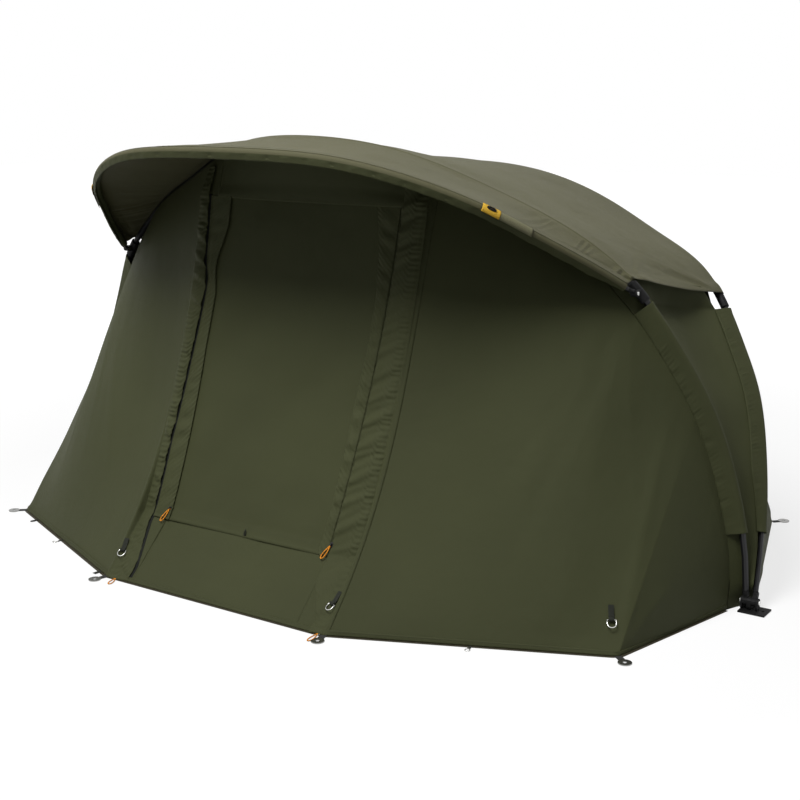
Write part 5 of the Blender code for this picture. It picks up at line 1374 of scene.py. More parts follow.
def flap_grid(side, seed):
    """A storm flap: rows from the hem to the rib, columns from its free edge to its seam."""
    steps = int(340 * FINE)
    way = np.linspace(0, 1, steps)[:, None]
    share = np.linspace(0, 1, int(40 * FINE))[None, :]
    _, top = arch_edge(FLAP_HALF_WIDTH + FLAP_SEAM * 0.3)
    heights = HEM_HEIGHT + (top - FLAP_TOP_GAP - HEM_HEIGHT) * way
    if side > 0:
        inner = zip_half_width(heights) + SLIT_ROOM
        inner = inner + (1 - ease(heights, 0.02, SKIRT_HEIGHT * 0.7)) * 0.060
    else:
        inner = table_line(FLAP_EDGE_LEFT, heights)
    outer = flap_outer(heights) - ROOM
    x = inner + (outer - inner) * share
    off_free = (outer - inner) * share
    off_seam = (outer - inner) * (1 - share)
    stand = ease(heights, SKIRT_HEIGHT * 0.4, SKIRT_HEIGHT + FLAP_EASE)
    stand = stand * (1 - ease(heights, DOOR_TOP_HEIGHT, DOOR_TOP_HEIGHT + 0.12) * 0.6)
    swelling = np.sin(math.pi * np.clip(share * 0.85 + 0.15, 0, 1)) ** 0.8
    lift = FLAP_LIFT + stand * FLAP_PUFF * 0.55 * swelling
    lift = lift * (1 - ease(share, 0.82, 1.0)) + CLOTH * 1.5 * ease(share, 0.82, 1.0)
    lift = lift + ruffle(heights, off_free, 0.015, 0.012, 0.0017, seed)
    lift = lift + ruffle(heights, np.maximum(off_seam - FLAP_SEAM, 0), 0.016, 0.020, 0.0023, seed + 1, -0.9)
    lift = lift + ruffle(heights, off_seam * 0.3, 0.072, 0.30, 0.0044, seed + 2, 1.6) * (1 - share ** 3)
    lift = lift + ruffle(heights, off_free * 0.4, 0.034, 0.05, 0.0023, seed + 3, -1.3) * (1 - share ** 4)
    return np.stack([x, face(x, heights) - np.maximum(lift, CLOTH * 1.5), x * 0 + heights], axis=-1)


print("rows up a flap:", int(340 * FINE))

# %% [markdown]
# ## Bands on the door
# Beside each zip a doubled band stiffens the door. It lies flatter than a flap, as both edges are
# sewn.

# %% Door band
# The slit's darkness is painted shade: a black strip lies in it, where there is no zip.
SLIT_WIDTH = 0.0055        # dark slit beside the left storm flap
BAND_EDGE_LEFT = ((0.180, 0.322), (0.408, 0.331), (0.717, 0.342), (0.890, 0.338), (0.961, 0.352),
                  (1.001, 0.350), (1.112, 0.318), (1.211, 0.316))
BAND_EDGE_RIGHT = ((0.180, 0.290), (0.352, 0.295), (0.583, 0.294), (0.776, 0.305), (0.928, 0.309),
                   (1.080, 0.296), (1.211, 0.272))


def band_grid(side, seed):
    """A door band: rows up the door, columns from the zip to its inner edge."""
    heights = np.linspace(SKIRT_HEIGHT - DOOR_LAP * 0.8, DOOR_TOP_HEIGHT - 0.004, int(280 * FINE))[:, None]
    share = np.linspace(0, 1, int(28 * FINE))[None, :]
    outer = zip_half_width(heights) - ZIP_WIDTH * 0.80
    if side < 0:
        outer = table_line(FLAP_EDGE_LEFT, heights) - SLIT_WIDTH
    inner = table_line(BAND_EDGE_RIGHT if side > 0 else BAND_EDGE_LEFT, heights)
    x = outer + (inner - outer) * share
    off_zip = (outer - inner) * share
    off_edge = (outer - inner) * (1 - share)
    lift = CLOTH * 1.6 + 0.0042 * np.sin(math.pi * np.clip(share, 0, 1)) ** 0.7
    if side < 0:
        lift = CLOTH * 1.6 + 0.0045 * ease(share, 0.02, 0.45)
    lap = (1 - ease(heights, SKIRT_HEIGHT, SKIRT_HEIGHT + LAP_RUN)) * DOOR_LAP_LIFT
    lift = lift + ruffle(heights, off_zip, 0.016, 0.014, 0.0018, seed, -0.8)
    lift = lift + ruffle(heights, off_edge, 0.018, 0.020, 0.0023, seed + 1, 0.9)
    middle = np.sin(math.pi * share)
    lift = lift + ruffle(heights, off_zip * 0.3, 0.060, 0.30, 0.0036, seed + 2, -1.2) * middle
    return np.stack([x, face(x, heights) - lap - np.maximum(lift, CLOTH * 1.5), x * 0 + heights], axis=-1)


print("left band starts", float(table_line(BAND_EDGE_LEFT, 0.7)), "m from the middle")

# %% [markdown]
# ## Tape on a flap's seam
# A narrow tape covers the flap's outer seam. It follows the panel's own surface, because the panel
# leaves the door's plane there and the tape would sink into it.

# %% Seam tape
FLAP_TAPE_LIFT = 0.0026


def panel_face(x, heights):
    """How far back the side panel's own surface is, also where it leaves the door's plane."""
    columns = panel_grid[:, 8:60]
    z = heights[:, 0]
    across = np.stack([np.interp(z, c[:, 2], c[:, 0]) for c in columns.transpose(1, 0, 2)], axis=1)
    back = np.stack([np.interp(z, c[:, 2], c[:, 1]) for c in columns.transpose(1, 0, 2)], axis=1)
    return np.stack([np.interp(x[k], across[k], back[k]) for k in range(len(z))])


def tape_grid(side, seed):
    """The seam tape along a storm flap's outer edge, with its fine slanted puckers."""
    _, top = arch_edge(FLAP_HALF_WIDTH + FLAP_SEAM * 0.3)
    heights = np.linspace(HEM_HEIGHT, top - FLAP_TOP_GAP * 1.5, int(420 * FINE))[:, None]
    share = np.linspace(0, 1, int(16 * FINE))[None, :]
    outer = flap_outer(heights) + FLAP_SEAM * 0.30
    inner = flap_outer(heights) - FLAP_SEAM * 0.70
    x = inner + (outer - inner) * share
    off = (outer - inner) * np.minimum(share, 1 - share)
    lift = CLOTH * 1.0 + FLAP_TAPE_LIFT * np.sin(math.pi * share) ** 0.5
    lift = lift + ruffle(heights, off * 0.5, 0.0105, 0.05, 0.0012, seed, 3.2)
    return np.stack([x, panel_face(x, heights) - lift, x * 0 + heights], axis=-1)


print("tape", FLAP_SEAM, "m wide")

# %% [markdown]
# ## Both sides of the door
# Bands ride the door; flaps and tapes stay on the wall. The left flap stands off its zip, and a black
# strip of zip tape cloth lies in the slit beside it, where there is no zip: painted shade for the gap.

# %% Flaps, bands and tapes
slit_levels = np.linspace(HEM_HEIGHT * 2, DOOR_TOP_HEIGHT, int(160 * FINE))
slit_edge = table_line(FLAP_EDGE_LEFT, slit_levels)
# A black strip under the left flap's free edge, away from the zip: painted shade for the slit.
shade_strip_grid = sheet_between(slit_edge - SLIT_WIDTH * 1.6, slit_edge + SLIT_WIDTH, slit_levels, 5, CLOTH * 1.1)
front_piece(cloth("painted_shade_strip_left", mirrored(shade_strip_grid, -1), ZIP_TAPE, CLOTH * 0.5))

for label, side in SIDES:
    panel_grid = front_grid(100 + side)
    grid = flap_grid(side, 140 + side)
    flap = front_piece(cloth("storm_flap_" + label, mirrored(grid, side), FLAP))
    grid = band_grid(side, 150 + side)[:, ::-1]
    band = front_piece(cloth("door_band_" + label, mirrored(grid, side), FLAP), "door")
    grid = tape_grid(side, 160 + side)
    front_piece(cloth("flap_tape_" + label, mirrored(grid, side), FLAP))

# %% [markdown]
# ## Behind the bare knuckle
# Where the front knuckle is bare, a small cloth closes the corner between front wall and side panel.
# It is ruled between lines that exist already, so it can't gape.

# %% Shoulder
SHOULDER_STAND = 0.028     # behind the middle of the front rib


def shoulder_grid():
    """Behind a bare front knuckle: from the front wall's edge to the side panel's."""
    places = np.linspace(FRONT_POCKET_END - 0.020, FRONT_KNUCKLE + CANOPY_START * 1.6, int(70 * FINE))
    edge = top_edge(places) + (0.0, 0.004, 0.0)
    back = np.array((0.0, 1.0, 0.0))
    behind = FRONT.at(places) + FRONT.square(places, back) * SHOULDER_STAND
    ways = np.linspace(0, 1, int(24 * FINE))[None, :, None]
    return edge[:, None] + (behind - edge)[:, None] * ways


print("shoulder grid", shoulder_grid().shape[:2])

# %% [markdown]
# ## Gussets at the hubs
# Below the pockets the poles run bare to the hubs. Small gussets behind them join the walls in the
# same way, so no light comes in at the tent's foot.

# %% Gussets
def foot_gusset_grid():
    """Under a front pocket: from the front panel's edge, behind the pole, to the side panel."""
    places = np.linspace(SIDE_FOOT, POCKET_FOOT + 0.020, int(60 * FINE))
    back = np.array((FRONT_TAIL_AIM[1], -FRONT_TAIL_AIM[0], 0.0))
    start = top_edge(places)
    behind = FRONT.at(places) + FRONT.square(places, back) * (POCKET_RADIUS + ROOM)
    start = np.vstack([FRONT_HEM[3], start])
    behind = np.vstack([HUB_CORNER, behind])
    ways = np.linspace(0, 1, int(24 * FINE))[None, :, None]
    return start[:, None] + (behind - start)[:, None] * ways


def rear_gusset_grid():
    """Under a rear pocket: from the side panel, inside the pole, to the rear wall."""
    places = np.linspace(SIDE_FOOT, POCKET_FOOT + 0.020, int(60 * FINE))
    inside = REAR.square(places, np.array((-1.0, 0.0, 0.0))) * (REAR_POLE_RADIUS + ROOM * 6)
    lines = np.stack([rear_near_line(places), REAR.at(places) + inside,
                      REAR.at(places) + REAR_NORMAL * (POCKET_RADIUS + ROOM)])
    foot = np.stack([HUB_CORNER + HUB_STEP, (HUB_CORNER + HUB_STEP + REAR_HEM[0]) / 2, REAR_HEM[0]])
    lines = np.concatenate([foot[:, None], lines], axis=1)
    ways = np.linspace(0, 2, int(24 * FINE))
    columns = []
    for way in ways:
        part = min(int(way), 1)
        columns.append(lines[part] * (1 - way + part) + lines[part + 1] * (way - part))
    return np.stack(columns, axis=1)


print("gusset grids", foot_gusset_grid().shape[:2], rear_gusset_grid().shape[:2])

# %% [markdown]
# ## Both sides of the frame
# Each rides the rib that it is sewn to, so nothing tears there when a rib folds.

# %% Shoulders and gussets
for label, side in SIDES:
    grid = shoulder_grid()
    piece = front_piece(cloth("shoulder_cloth_" + label, mirrored(grid, side), WALL))
    grid = foot_gusset_grid()
    piece = front_piece(cloth("foot_gusset_front_" + label, mirrored(grid, side), WALL))
    grid = rear_gusset_grid()
    piece = cloth("foot_gusset_rear_" + label, mirrored(grid, side), WALL)
    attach(piece, "rear_rib")

# %% [markdown]
# ## Teeth and stitches
# A zip has hundreds of teeth and a seam thousands of stitches. One Geometry Nodes tree resamples a
# line at an even spacing and sets an item at each point, turned along it. Spacing, size and paint
# are inputs, so one tree serves every row; an array with a curve would stretch the items.

# %% A tree for rows
def row_tree(round_item):
    """A node tree that sets boxes or beads along a line, turned along it."""
    tree = bpy.data.node_groups.new("row_of_items", "GeometryNodeTree")
    face_of = tree.interface
    face_of.new_socket("Geometry", in_out="INPUT", socket_type="NodeSocketGeometry")
    sockets = {}
    inputs = (("spacing", "Float"), ("size", "Vector"), ("across", "Vector"), ("paint", "Material"))
    for key, kind in inputs:
        sockets[key] = face_of.new_socket(key.title(), in_out="INPUT", socket_type="NodeSocket" + kind)
    face_of.new_socket("Geometry", in_out="OUTPUT", socket_type="NodeSocketGeometry")
    nodes = tree.nodes
    given, result = nodes.new("NodeGroupInput"), nodes.new("NodeGroupOutput")
    curve = nodes.new("GeometryNodeMeshToCurve")
    even = nodes.new("GeometryNodeResampleCurve")
    even.mode = "LENGTH"
    if round_item:
        item = nodes.new("GeometryNodeMeshIcoSphere")
        item.inputs["Radius"].default_value = 0.5
        item.inputs["Subdivisions"].default_value = 1
    else:
        item = nodes.new("GeometryNodeMeshCube")
    way = nodes.new("GeometryNodeInputTangent")
    along = nodes.new("FunctionNodeAlignRotationToVector")
    turned = nodes.new("FunctionNodeAlignRotationToVector")
    along.axis = "Z"
    turned.axis = "X"
    turned.pivot_axis = "Z"
    place = nodes.new("GeometryNodeInstanceOnPoints")
    real = nodes.new("GeometryNodeRealizeInstances")
    painted = nodes.new("GeometryNodeSetMaterial")
    for source, target in ((given.outputs["Geometry"], curve.inputs["Mesh"]),
                           (curve.outputs["Curve"], even.inputs["Curve"]),
                           (given.outputs["Spacing"], even.inputs["Length"]),
                           (even.outputs["Curve"], place.inputs["Points"]),
                           (item.outputs["Mesh"], place.inputs["Instance"]),
                           (given.outputs["Size"], place.inputs["Scale"]),
                           (way.outputs["Tangent"], along.inputs["Vector"]),
                           (along.outputs["Rotation"], turned.inputs["Rotation"]),
                           (given.outputs["Across"], turned.inputs["Vector"]),
                           (turned.outputs["Rotation"], place.inputs["Rotation"]),
                           (place.outputs["Instances"], real.inputs["Geometry"]),
                           (real.outputs["Geometry"], painted.inputs["Geometry"]),
                           (given.outputs["Paint"], painted.inputs["Material"]),
                           (painted.outputs["Geometry"], result.inputs["Geometry"])):
        tree.links.new(source, target)
    return tree, {key: socket.identifier for key, socket in sockets.items()}


BEADS, BOXES = row_tree(True), row_tree(False)
print("nodes in a tree:", len(BEADS[0].nodes))

# %% [markdown]
# ## From the tree to a mesh
# The tree's result is read back as a mesh, so that it can ride a body like any other piece.

# %% Rows as meshes
STITCH_LENGTH = 0.0034
STITCH_RUN = 0.0056
STITCH_RADIUS = 0.00045


def row_of(name, points, spacing, size, paint, kind, across=(1.0, 0.0, 0.0)):
    """One mesh of small items along a line of points."""
    tree, sockets = kind
    mesh = bpy.data.meshes.new(name + "_line")
    mesh.from_pydata([tuple(p) for p in points], [(i, i + 1) for i in range(len(points) - 1)], [])
    line = shown(name + "_line", mesh)
    row = line.modifiers.new("row", "NODES")
    row.node_group = tree
    row[sockets["spacing"]] = spacing
    row[sockets["size"]] = size
    row[sockets["across"]] = across
    row[sockets["paint"]] = paint
    made = bpy.data.meshes.new_from_object(line.evaluated_get(bpy.context.evaluated_depsgraph_get()))
    bpy.data.objects.remove(line)
    made.materials.clear()
    made.materials.append(paint)
    piece = shown(name, made)
    print("row", name, len(made.polygons), "faces")
    return piece


def stitches(name, points):
    size = (STITCH_RADIUS * 2, STITCH_RADIUS * 2, STITCH_LENGTH)
    return row_of(name, points, STITCH_RUN, size, THREAD, BEADS)


print("a stitch every", STITCH_RUN * 1000, "mm")

# %% [markdown]
# ## Zips
# Two rows of teeth mesh along the middle of each tape, half a tooth apart.

# %% Zips
TOOTH_RUN = 0.0044
TOOTH_SIZE = (0.0030, 0.0022, 0.0016)
for label, side in SIDES:
    heights = np.linspace(SKIRT_HEIGHT, DOOR_TOP_HEIGHT, int(160 * FINE))
    middle = zip_half_width(heights)
    tape = sheet_between(middle - ZIP_WIDTH / 2, middle + ZIP_WIDTH / 2, heights, 5, -CLOTH)
    piece = cloth("zip_tape_" + label, mirrored(tape, side), ZIP_TAPE, CLOTH * 0.6)
    front_piece(piece)
    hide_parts("zip_chain_" + label)
    for k, offset in enumerate((-TOOTH_SIZE[0] * 0.32, TOOTH_SIZE[0] * 0.32)):
        start = heights[0] + TOOTH_RUN * 0.5 * k
        z = np.linspace(start, heights[-1] - TOOTH_RUN, 60)
        x = zip_half_width(z) + offset
        points = np.stack([x * side, face(x, z) - CLOTH * 0.2, z], axis=-1)
        row = row_of(f"zip_teeth_{label}_{k + 1}", points, TOOTH_RUN, TOOTH_SIZE, PLASTIC, BOXES)
        front_piece(row)

# %% [markdown]
# ## Seams
# A row of thread runs just inside each sewn edge. Modelled stitches throw tiny shadows in a close
# view, where a painted line looks printed.

# %% Stitches on the front
def pocket_line(rib, end, aim, side, inset):
    places = np.linspace(POCKET_FOOT + inset, end - inset, 90)
    first = rib.square(places, aim)
    out = np.cross(rib.tangent(places), first)
    tails = folded_room(places) if rib is REAR else np.full(len(places), POCKET_TAIL)
    return (rib.at(places) + first * (tails[:, None] - inset) + out * CLOTH * 2) * (side, 1, 1)


for label, side in SIDES:
    line = stitches("pocket_stitch_front_" + label,
                    pocket_line(FRONT, FRONT_POCKET_END, FRONT_TAIL_AIM, side, 0.006))
    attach(line, "front_rib")
    line = stitches("pocket_stitch_rear_" + label,
                    pocket_line(REAR, REAR_POCKET_END, REAR_TAIL_AIM, side, 0.006))
    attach(line, "rear_rib")
    grid = tape_grid(side, 160 + side)
    for k, column in enumerate((1, -2)):
        points = grid[::4, column] * (side, 1, 1) - (0.0, CLOTH, 0.0)
        front_piece(stitches(f"flap_stitch_{label}_{k + 1}", points))

points = door_grid[4, 8:-8] - (0.0, CLOTH, 0.0)
front_piece(stitches("door_hem_stitch", points), "door")
points = header_grid[3, 3:-3] - (0.0, CLOTH, 0.0)
front_piece(stitches("header_stitch", points))

# %% [markdown]
# ## Hem and mud flap
# The wall's foot is turned up and stitched, and a thin flap lies on the ground outside it. Both
# follow the hem point by point, as it turns at two pegs.

# %% Front hem
MUD_FLAP = 0.011           # width of the flap that lies outside the front hem
GROUND_ROOM = 0.0007       # a lying cloth's middle over the ground


def front_hem_point(corner, way):
    """A point of the wall, that share of the way up from the hem."""
    if corner <= 1:
        foot = along_line(FRONT_HEM, corner)
        z = HEM_HEIGHT + (DOOR_TOP_HEIGHT - HEM_HEIGHT) * way
        return np.array((foot[0], float(face(foot[0], z)), z))
    foot = along_line(FRONT_HEM, corner)
    span = float(np.interp(corner, [r[1] for r in PANEL_RULINGS], range(len(PANEL_RULINGS))))
    share = smooth_table(PANEL_RULINGS, span)[0]
    head = top_edge(share * FRONT.length)
    return foot + (head - foot) * way


hem_corners = np.concatenate([np.linspace(0, 1, 40, endpoint=False), np.linspace(1, 2.98, 90)])
for name, rise, tuck in (("hem_band", HEM_WIDTH, 0.0), ("mud_flap", 0.0, MUD_FLAP)):
    rows = []
    for corner in hem_corners:
        foot = front_hem_point(corner, 0.0)
        up = unit(front_hem_point(corner, 0.02) - foot)
        back = 0.01 if corner > 2.9 else 0.0
        step = along_line(FRONT_HEM, min(corner + 0.01, 3.0)) - along_line(FRONT_HEM, corner - back)
        out = unit(np.array((-step[1], step[0], 0.0)))
        out = out if out[1] < 0 else -out
        if rise:
            rows.append([foot + out * CLOTH * 1.3 + up * rise * way for way in np.linspace(0, 1, 5)])
        else:
            lying = foot * (1, 1, 0) + (0, 0, GROUND_ROOM)
            rows.append([lying + out * tuck * way for way in np.linspace(-0.4, 1, 6)])
    half = np.array(rows)[::-1].transpose(1, 0, 2)
    grid = whole(half)
    piece = front_piece(cloth(name, grid, WALL if rise else MUD_FLAP_CLOTH, CLOTH * 0.7))
    if rise:
        front_piece(stitches("hem_stitch", grid[-2] - (0.0, CLOTH * 0.8, 0.0)))

# %% [markdown]
# ## Tape over the ridge
# A tape covers the seam of roof and hood, with thread on both sides of the pole, and one more row
# runs along the rim's doubled edge.

# %% Ridge tape
places = np.linspace(FRONT_KNUCKLE + SHOULDER_START + 0.004, FRONT.length, int(200 * FINE))
near = over_knuckle(places, FRONT_KNUCKLE, FRONT_POLE_RADIUS, KNUCKLE_RADIUS)
tape_rows = []
for turn in np.linspace(-1, 1, 7):
    angle = turn * 0.85
    out, back = FRONT.outward(places), FRONT.square(places, np.array((0.0, 1.0, 0.0)))
    around = out * math.cos(angle) + back * math.sin(angle)
    tape_rows.append(FRONT.at(places) + around * (near + CLOTH * 1.4))
tape_grid_top = whole(np.array(tape_rows))
ridge_tape = cloth("ridge_tape", tape_grid_top[::-1], ROOF, CLOTH * 0.8)
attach(ridge_tape, "front_rib")
line = stitches("rim_stitch", turn_grid[-2, 4:-4] + (0.0, 0.0, CLOTH * 0.6))
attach(line, "peak_rib")
for k, row in enumerate((0, -1)):
    line = stitches(f"ridge_stitch_{k + 1}", tape_grid_top[row, ::2] * 1.0)
    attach(line, "front_rib")

# %% [markdown]
# ## Ground sheet
# One heavy coated sheet fills the hem's outline. It lies flat, so its cut is its own outline.

# %% Ground sheet
GROUNDSHEET_TUCK = 0.003   # inside the hem
HUB_TUCK = 0.010           # inside the cloth's corner at a hub
ground_half = HUB_CORNER[0] - HUB_TUCK
sheet_x = np.linspace(-ground_half, ground_half, int(120 * FINE))
front_line = np.array([*FRONT_HEM, HUB_CORNER])
rear_line = np.array(REAR_HEM)[::-1]
front_y = np.interp(np.abs(sheet_x), front_line[:, 0], front_line[:, 1]) + GROUNDSHEET_TUCK
rear_y = np.interp(np.abs(sheet_x), rear_line[:, 0], rear_line[:, 1]) - GROUNDSHEET_TUCK
ways = np.linspace(0, 1, int(90 * FINE))[:, None]
sheet_y = front_y + (rear_y - front_y) * ways
sheet_z = np.full_like(sheet_y, GROUND_ROOM * 1.5)
ground_grid = np.stack([np.repeat(sheet_x[None, :], len(ways), axis=0), sheet_y, sheet_z], axis=-1)
ground = cloth("ground_cloth", ground_grid, SHEETING, CLOTH * 0.7)
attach(ground, "root")
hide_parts("groundsheet")

# %% [markdown]
# ## Small fittings
# These keep their CAD shape. They are copied so that a bevel can round their edges, as an edge
# without one never catches a highlight.

# %% Sliders, straps and rings
def stand_in(node, paint, rounding=0.0):
    source = frame["nodes"][node]
    shape = bmesh.new()
    shape.from_mesh(source.data)
    bmesh.ops.remove_doubles(shape, verts=shape.verts, dist=0.00001)
    mesh = bpy.data.meshes.new("visual_" + node)
    shape.to_mesh(mesh)
    shape.free()
    mesh.shade_smooth()
    mesh.set_sharp_from_angle(angle=math.radians(38))
    mesh.materials.append(paint)
    piece = shown("visual_" + node, mesh)
    front_piece(piece, source["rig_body"])
    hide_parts(node)
    if rounding:
        soft = piece.modifiers.new("rounding", "BEVEL")
        soft.width = rounding
        soft.segments = 2
        soft.angle_limit = math.radians(38)
    print("copied", node)
    return piece


for label, side in SIDES:
    stand_in("zip_slider_" + label, POLE, 0.0004)
    stand_in("ring_flap_" + label, STEEL)
    stand_in("strap_flap_" + label, WEBBING, 0.0003)
stand_in("ring_corner_right", STEEL)
stand_in("strap_corner_right", WEBBING, 0.0003)

# %% [markdown]
# ## Eyelets
# Each pegging tab is one solid of webbing and eyelet. Its material tells the bright disc from the
# black tab by the distance from the eyelet's centre, so the solid needn't be cut in two.

# %% Pegging eyelets
TAB_LENGTH = 0.046
EYELET_RADIUS = 0.0205
DOOR_PEG_SHARES = (0.25, -1.0)
CORNER_PEG_SHARES = (0.75, -0.66)
REAR_PEG_SHARES = (0.70, 0.71)


def eyelet_material(name, centre, radius):
    """Steel inside the eyelet's disc, black webbing on its tab."""
    made, tree, shader = base_material(name, (0.62, 0.62, 0.60), 0.30, 1.0)
    where = tree.nodes.new("ShaderNodeTexCoord").outputs["Object"]
    flat = vector_node(tree, "MULTIPLY", vector_node(tree, "SUBTRACT", where, centre), (1.0, 1.0, 0.0))
    inside = math_node(tree, "LESS_THAN", vector_node(tree, "LENGTH", flat), radius)
    mix = tree.nodes.new("ShaderNodeMix")
    mix.data_type = "RGBA"
    mix.inputs["A"].default_value = (0.016, 0.016, 0.015, 1.0)
    mix.inputs["B"].default_value = (0.30, 0.30, 0.29, 1.0)
    link(tree, inside, mix.inputs["Factor"])
    link(tree, mix.outputs["Result"], shader.inputs["Base Color"])
    link(tree, inside, shader.inputs["Metallic"])
    rough = math_node(tree, "SUBTRACT", 0.85, math_node(tree, "MULTIPLY", inside, 0.52))
    link(tree, rough, shader.inputs["Roughness"])
    bump(tree, shader, noise_node(tree, where, 600.0, 3.0), 0.4, 0.0002)
    return made


def eyelet_centre(corner, outward, side):
    outward = unit((outward[0], outward[1]))
    return ((corner[0] + outward[0] * TAB_LENGTH) * side, corner[1] + outward[1] * TAB_LENGTH, 0.0)


for label, side in SIDES:
    for kind, corner, outward in (("door", FRONT_HEM[1], DOOR_PEG_SHARES),
                                  ("corner", FRONT_HEM[2], CORNER_PEG_SHARES),
                                  ("rear", REAR_HEM[1], REAR_PEG_SHARES)):
        node = f"peg_point_{kind}_{label}"
        paint = eyelet_material(node, eyelet_centre(corner, outward, side), EYELET_RADIUS)
        frame["nodes"][node].data.materials[0] = paint
paint = eyelet_material("peg_point_rear_middle", eyelet_centre(REAR_HEM[3], (0.0, 1.0), 1), EYELET_RADIUS)
frame["nodes"]["peg_point_rear_middle"].data.materials[0] = paint

# %% [markdown]
# ## Cord loops and zip pulls
# A loop of cord hangs as a drop, pointed where it is held. A tube along that closed line makes cords
# and thin rings alike. Each slider has one of orange cord through its bar.

# %% Zip pulls
PULL_BAR = (-0.6981, 0.2030)   # a zip pull's bar on its slider: how far back, how high
PULL_LENGTH = 0.050
PULL_WIDTH = 0.016
PULL_CORD_RADIUS = 0.0019


def teardrop(top, down, across, length, width, count=36):
    """A closed drop-shaped line that hangs from its point."""
    turn = np.linspace(0, 2 * math.pi, count, endpoint=False)
    wide = np.sin(turn) * np.sin(turn / 2) ** 1.3 * (width / 2)
    deep = (1 - np.cos(turn)) / 2 * length
    return np.asarray(top) + deep[:, None] * unit(down) + wide[:, None] * unit(across)


def wire_loop(name, line, normal, radius, paint, sides=10):
    """A tube along a closed flat line."""
    ahead = unit(np.roll(line, -1, axis=0) - np.roll(line, 1, axis=0))
    normal = unit(normal)
    inward = unit(np.cross(ahead, normal))
    turn = np.linspace(0, 2 * math.pi, sides, endpoint=False)
    rings = (line[:, None] + inward[:, None] * (np.cos(turn) * radius)[None, :, None]
             + normal * (np.sin(turn) * radius)[None, :, None])
    count = len(line)
    index = np.arange(count * sides).reshape(count, sides)
    after = np.roll(index, -1, axis=0)
    quads = np.stack([index, np.roll(index, -1, axis=1), np.roll(after, -1, axis=1), after], axis=-1)
    mesh = bpy.data.meshes.new(name)
    mesh.from_pydata(rings.reshape(-1, 3).tolist(), [], quads.reshape(-1, 4).tolist())
    shape = bmesh.new()
    shape.from_mesh(mesh)
    bmesh.ops.recalc_face_normals(shape, faces=shape.faces)
    shape.to_mesh(mesh)
    shape.free()
    mesh.shade_smooth()
    mesh.materials.append(paint)
    piece = shown(name, mesh)
    print("loop", name, round(float(lengths_along(line)[-1]), 3), "m of line")
    return piece


for label, side in SIDES:
    bar = np.array((ZIP_FOOT_HALF_WIDTH * side, *PULL_BAR))
    down = np.array((-0.30, -0.62, -0.72))
    across = unit(np.cross(down, (0.0, -0.75, 0.66)))
    line = teardrop(bar, down, across, PULL_LENGTH, PULL_WIDTH)
    pull = wire_loop("pull_cord_" + label, line, np.cross(down, across), PULL_CORD_RADIUS, ORANGE)
    front_piece(pull, "pull_" + label)
    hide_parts("zip_pull_" + label)

# %% [markdown]
# ## Tabs on the hood's rim
# A strip of webbing and a yellow tab wrap the rim. They are swept round the peak pole like the rim,
# so that they sit on it at every place. On the tab a black plastic ring, so thick that it nearly
# closes, stands for a slot: the slot's dark hole is painted shade.

# %% Hood tabs
for label, side in SIDES:
    for name, first, last, extra, paint in (("webbing", 0.404, 0.530, 0.0020, KHAKI_WEBBING),
                                            ("yellow", 0.517, 0.574, 0.0020 + CLOTH * 1.2, YELLOW)):
        places = np.linspace(first, last, 24)
        up = PEAK.square(places, lifts(PEAK, places, unit(FRONT.at(places * 0 + 1.2) - PEAK.at(places))))
        forward = PEAK.square(places, np.array((0.0, -1.0, 0.0)))
        forward = unit(forward - up * np.sum(forward * up, axis=-1, keepdims=True))
        rows = []
        for turn in np.radians(np.linspace(-14, 84, 14)):
            radius = RIM_RADIUS + CLOTH * 1.6 + extra
            rows.append(PEAK.at(places) + (up * math.cos(turn) + forward * math.sin(turn)) * radius)
        grid = np.array(rows)
        if np.mean(normals(grid)[:, :, 2]) < 0:
            grid = grid[::-1]
        tab = cloth(f"hood_tab_{name}_{label}", mirrored(grid, side), paint, CLOTH * 1.3)
        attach(tab, "peak_rib")
        # The slot's ring is thick enough to nearly close it: painted shade for a dark hole.
        if name == "yellow":
            middle, around = places[12], math.radians(24)
            along, out = PEAK.tangent(middle), up[12] * math.cos(around) + forward[12] * math.sin(around)
            centre = PEAK.at(middle) + out * (radius + CLOTH)
            across = np.cross(out, along)
            turn = np.linspace(0, 2 * math.pi, 28, endpoint=False)
            long = np.sign(np.cos(turn)) * np.abs(np.cos(turn)) ** 0.5 * 0.013
            oval = centre + long[:, None] * along + np.sin(turn)[:, None] * across * 0.0035
            mirror = (side, 1, 1)
            eye = wire_loop("hood_tab_slot_shade_" + label, oval * mirror, out * mirror, 0.0026, PLASTIC)
            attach(eye, "peak_rib")

# %% [markdown]
# ## Small things at the hem
# Cord loops, thin rings and webbing ends lie on the ground outside the hem, and a small loop on the
# door holds it when it is rolled. Flat pieces are grids and round ones tubes, as above.

# %% Tabs and loops at the hem
def flat_tab(name, start, end, width, paint, lift=0.0016):
    start, end = np.array((*start, lift)), np.array((*end, lift))
    across = unit(np.cross(end - start, (0.0, 0.0, 1.0))) * width
    ways = np.linspace(0, 1, 10)[:, None, None]
    sides = np.linspace(-0.5, 0.5, 5)[None, :, None]
    grid = start + (end - start) * ways + across * sides
    return front_piece(cloth(name, grid, paint, CLOTH))


def ground_loop(name, start, end, width, radius, paint):
    """A loop that lies on the ground, its point at the hem."""
    start, end = np.array((*start, radius + ROOM)), np.array((*end, radius + ROOM))
    down = end - start
    across = np.cross(down, (0.0, 0.0, 1.0))
    line = teardrop(start, down, across, float(np.linalg.norm(down)), width)
    return front_piece(wire_loop(name, line, (0.0, 0.0, 1.0), radius, paint))


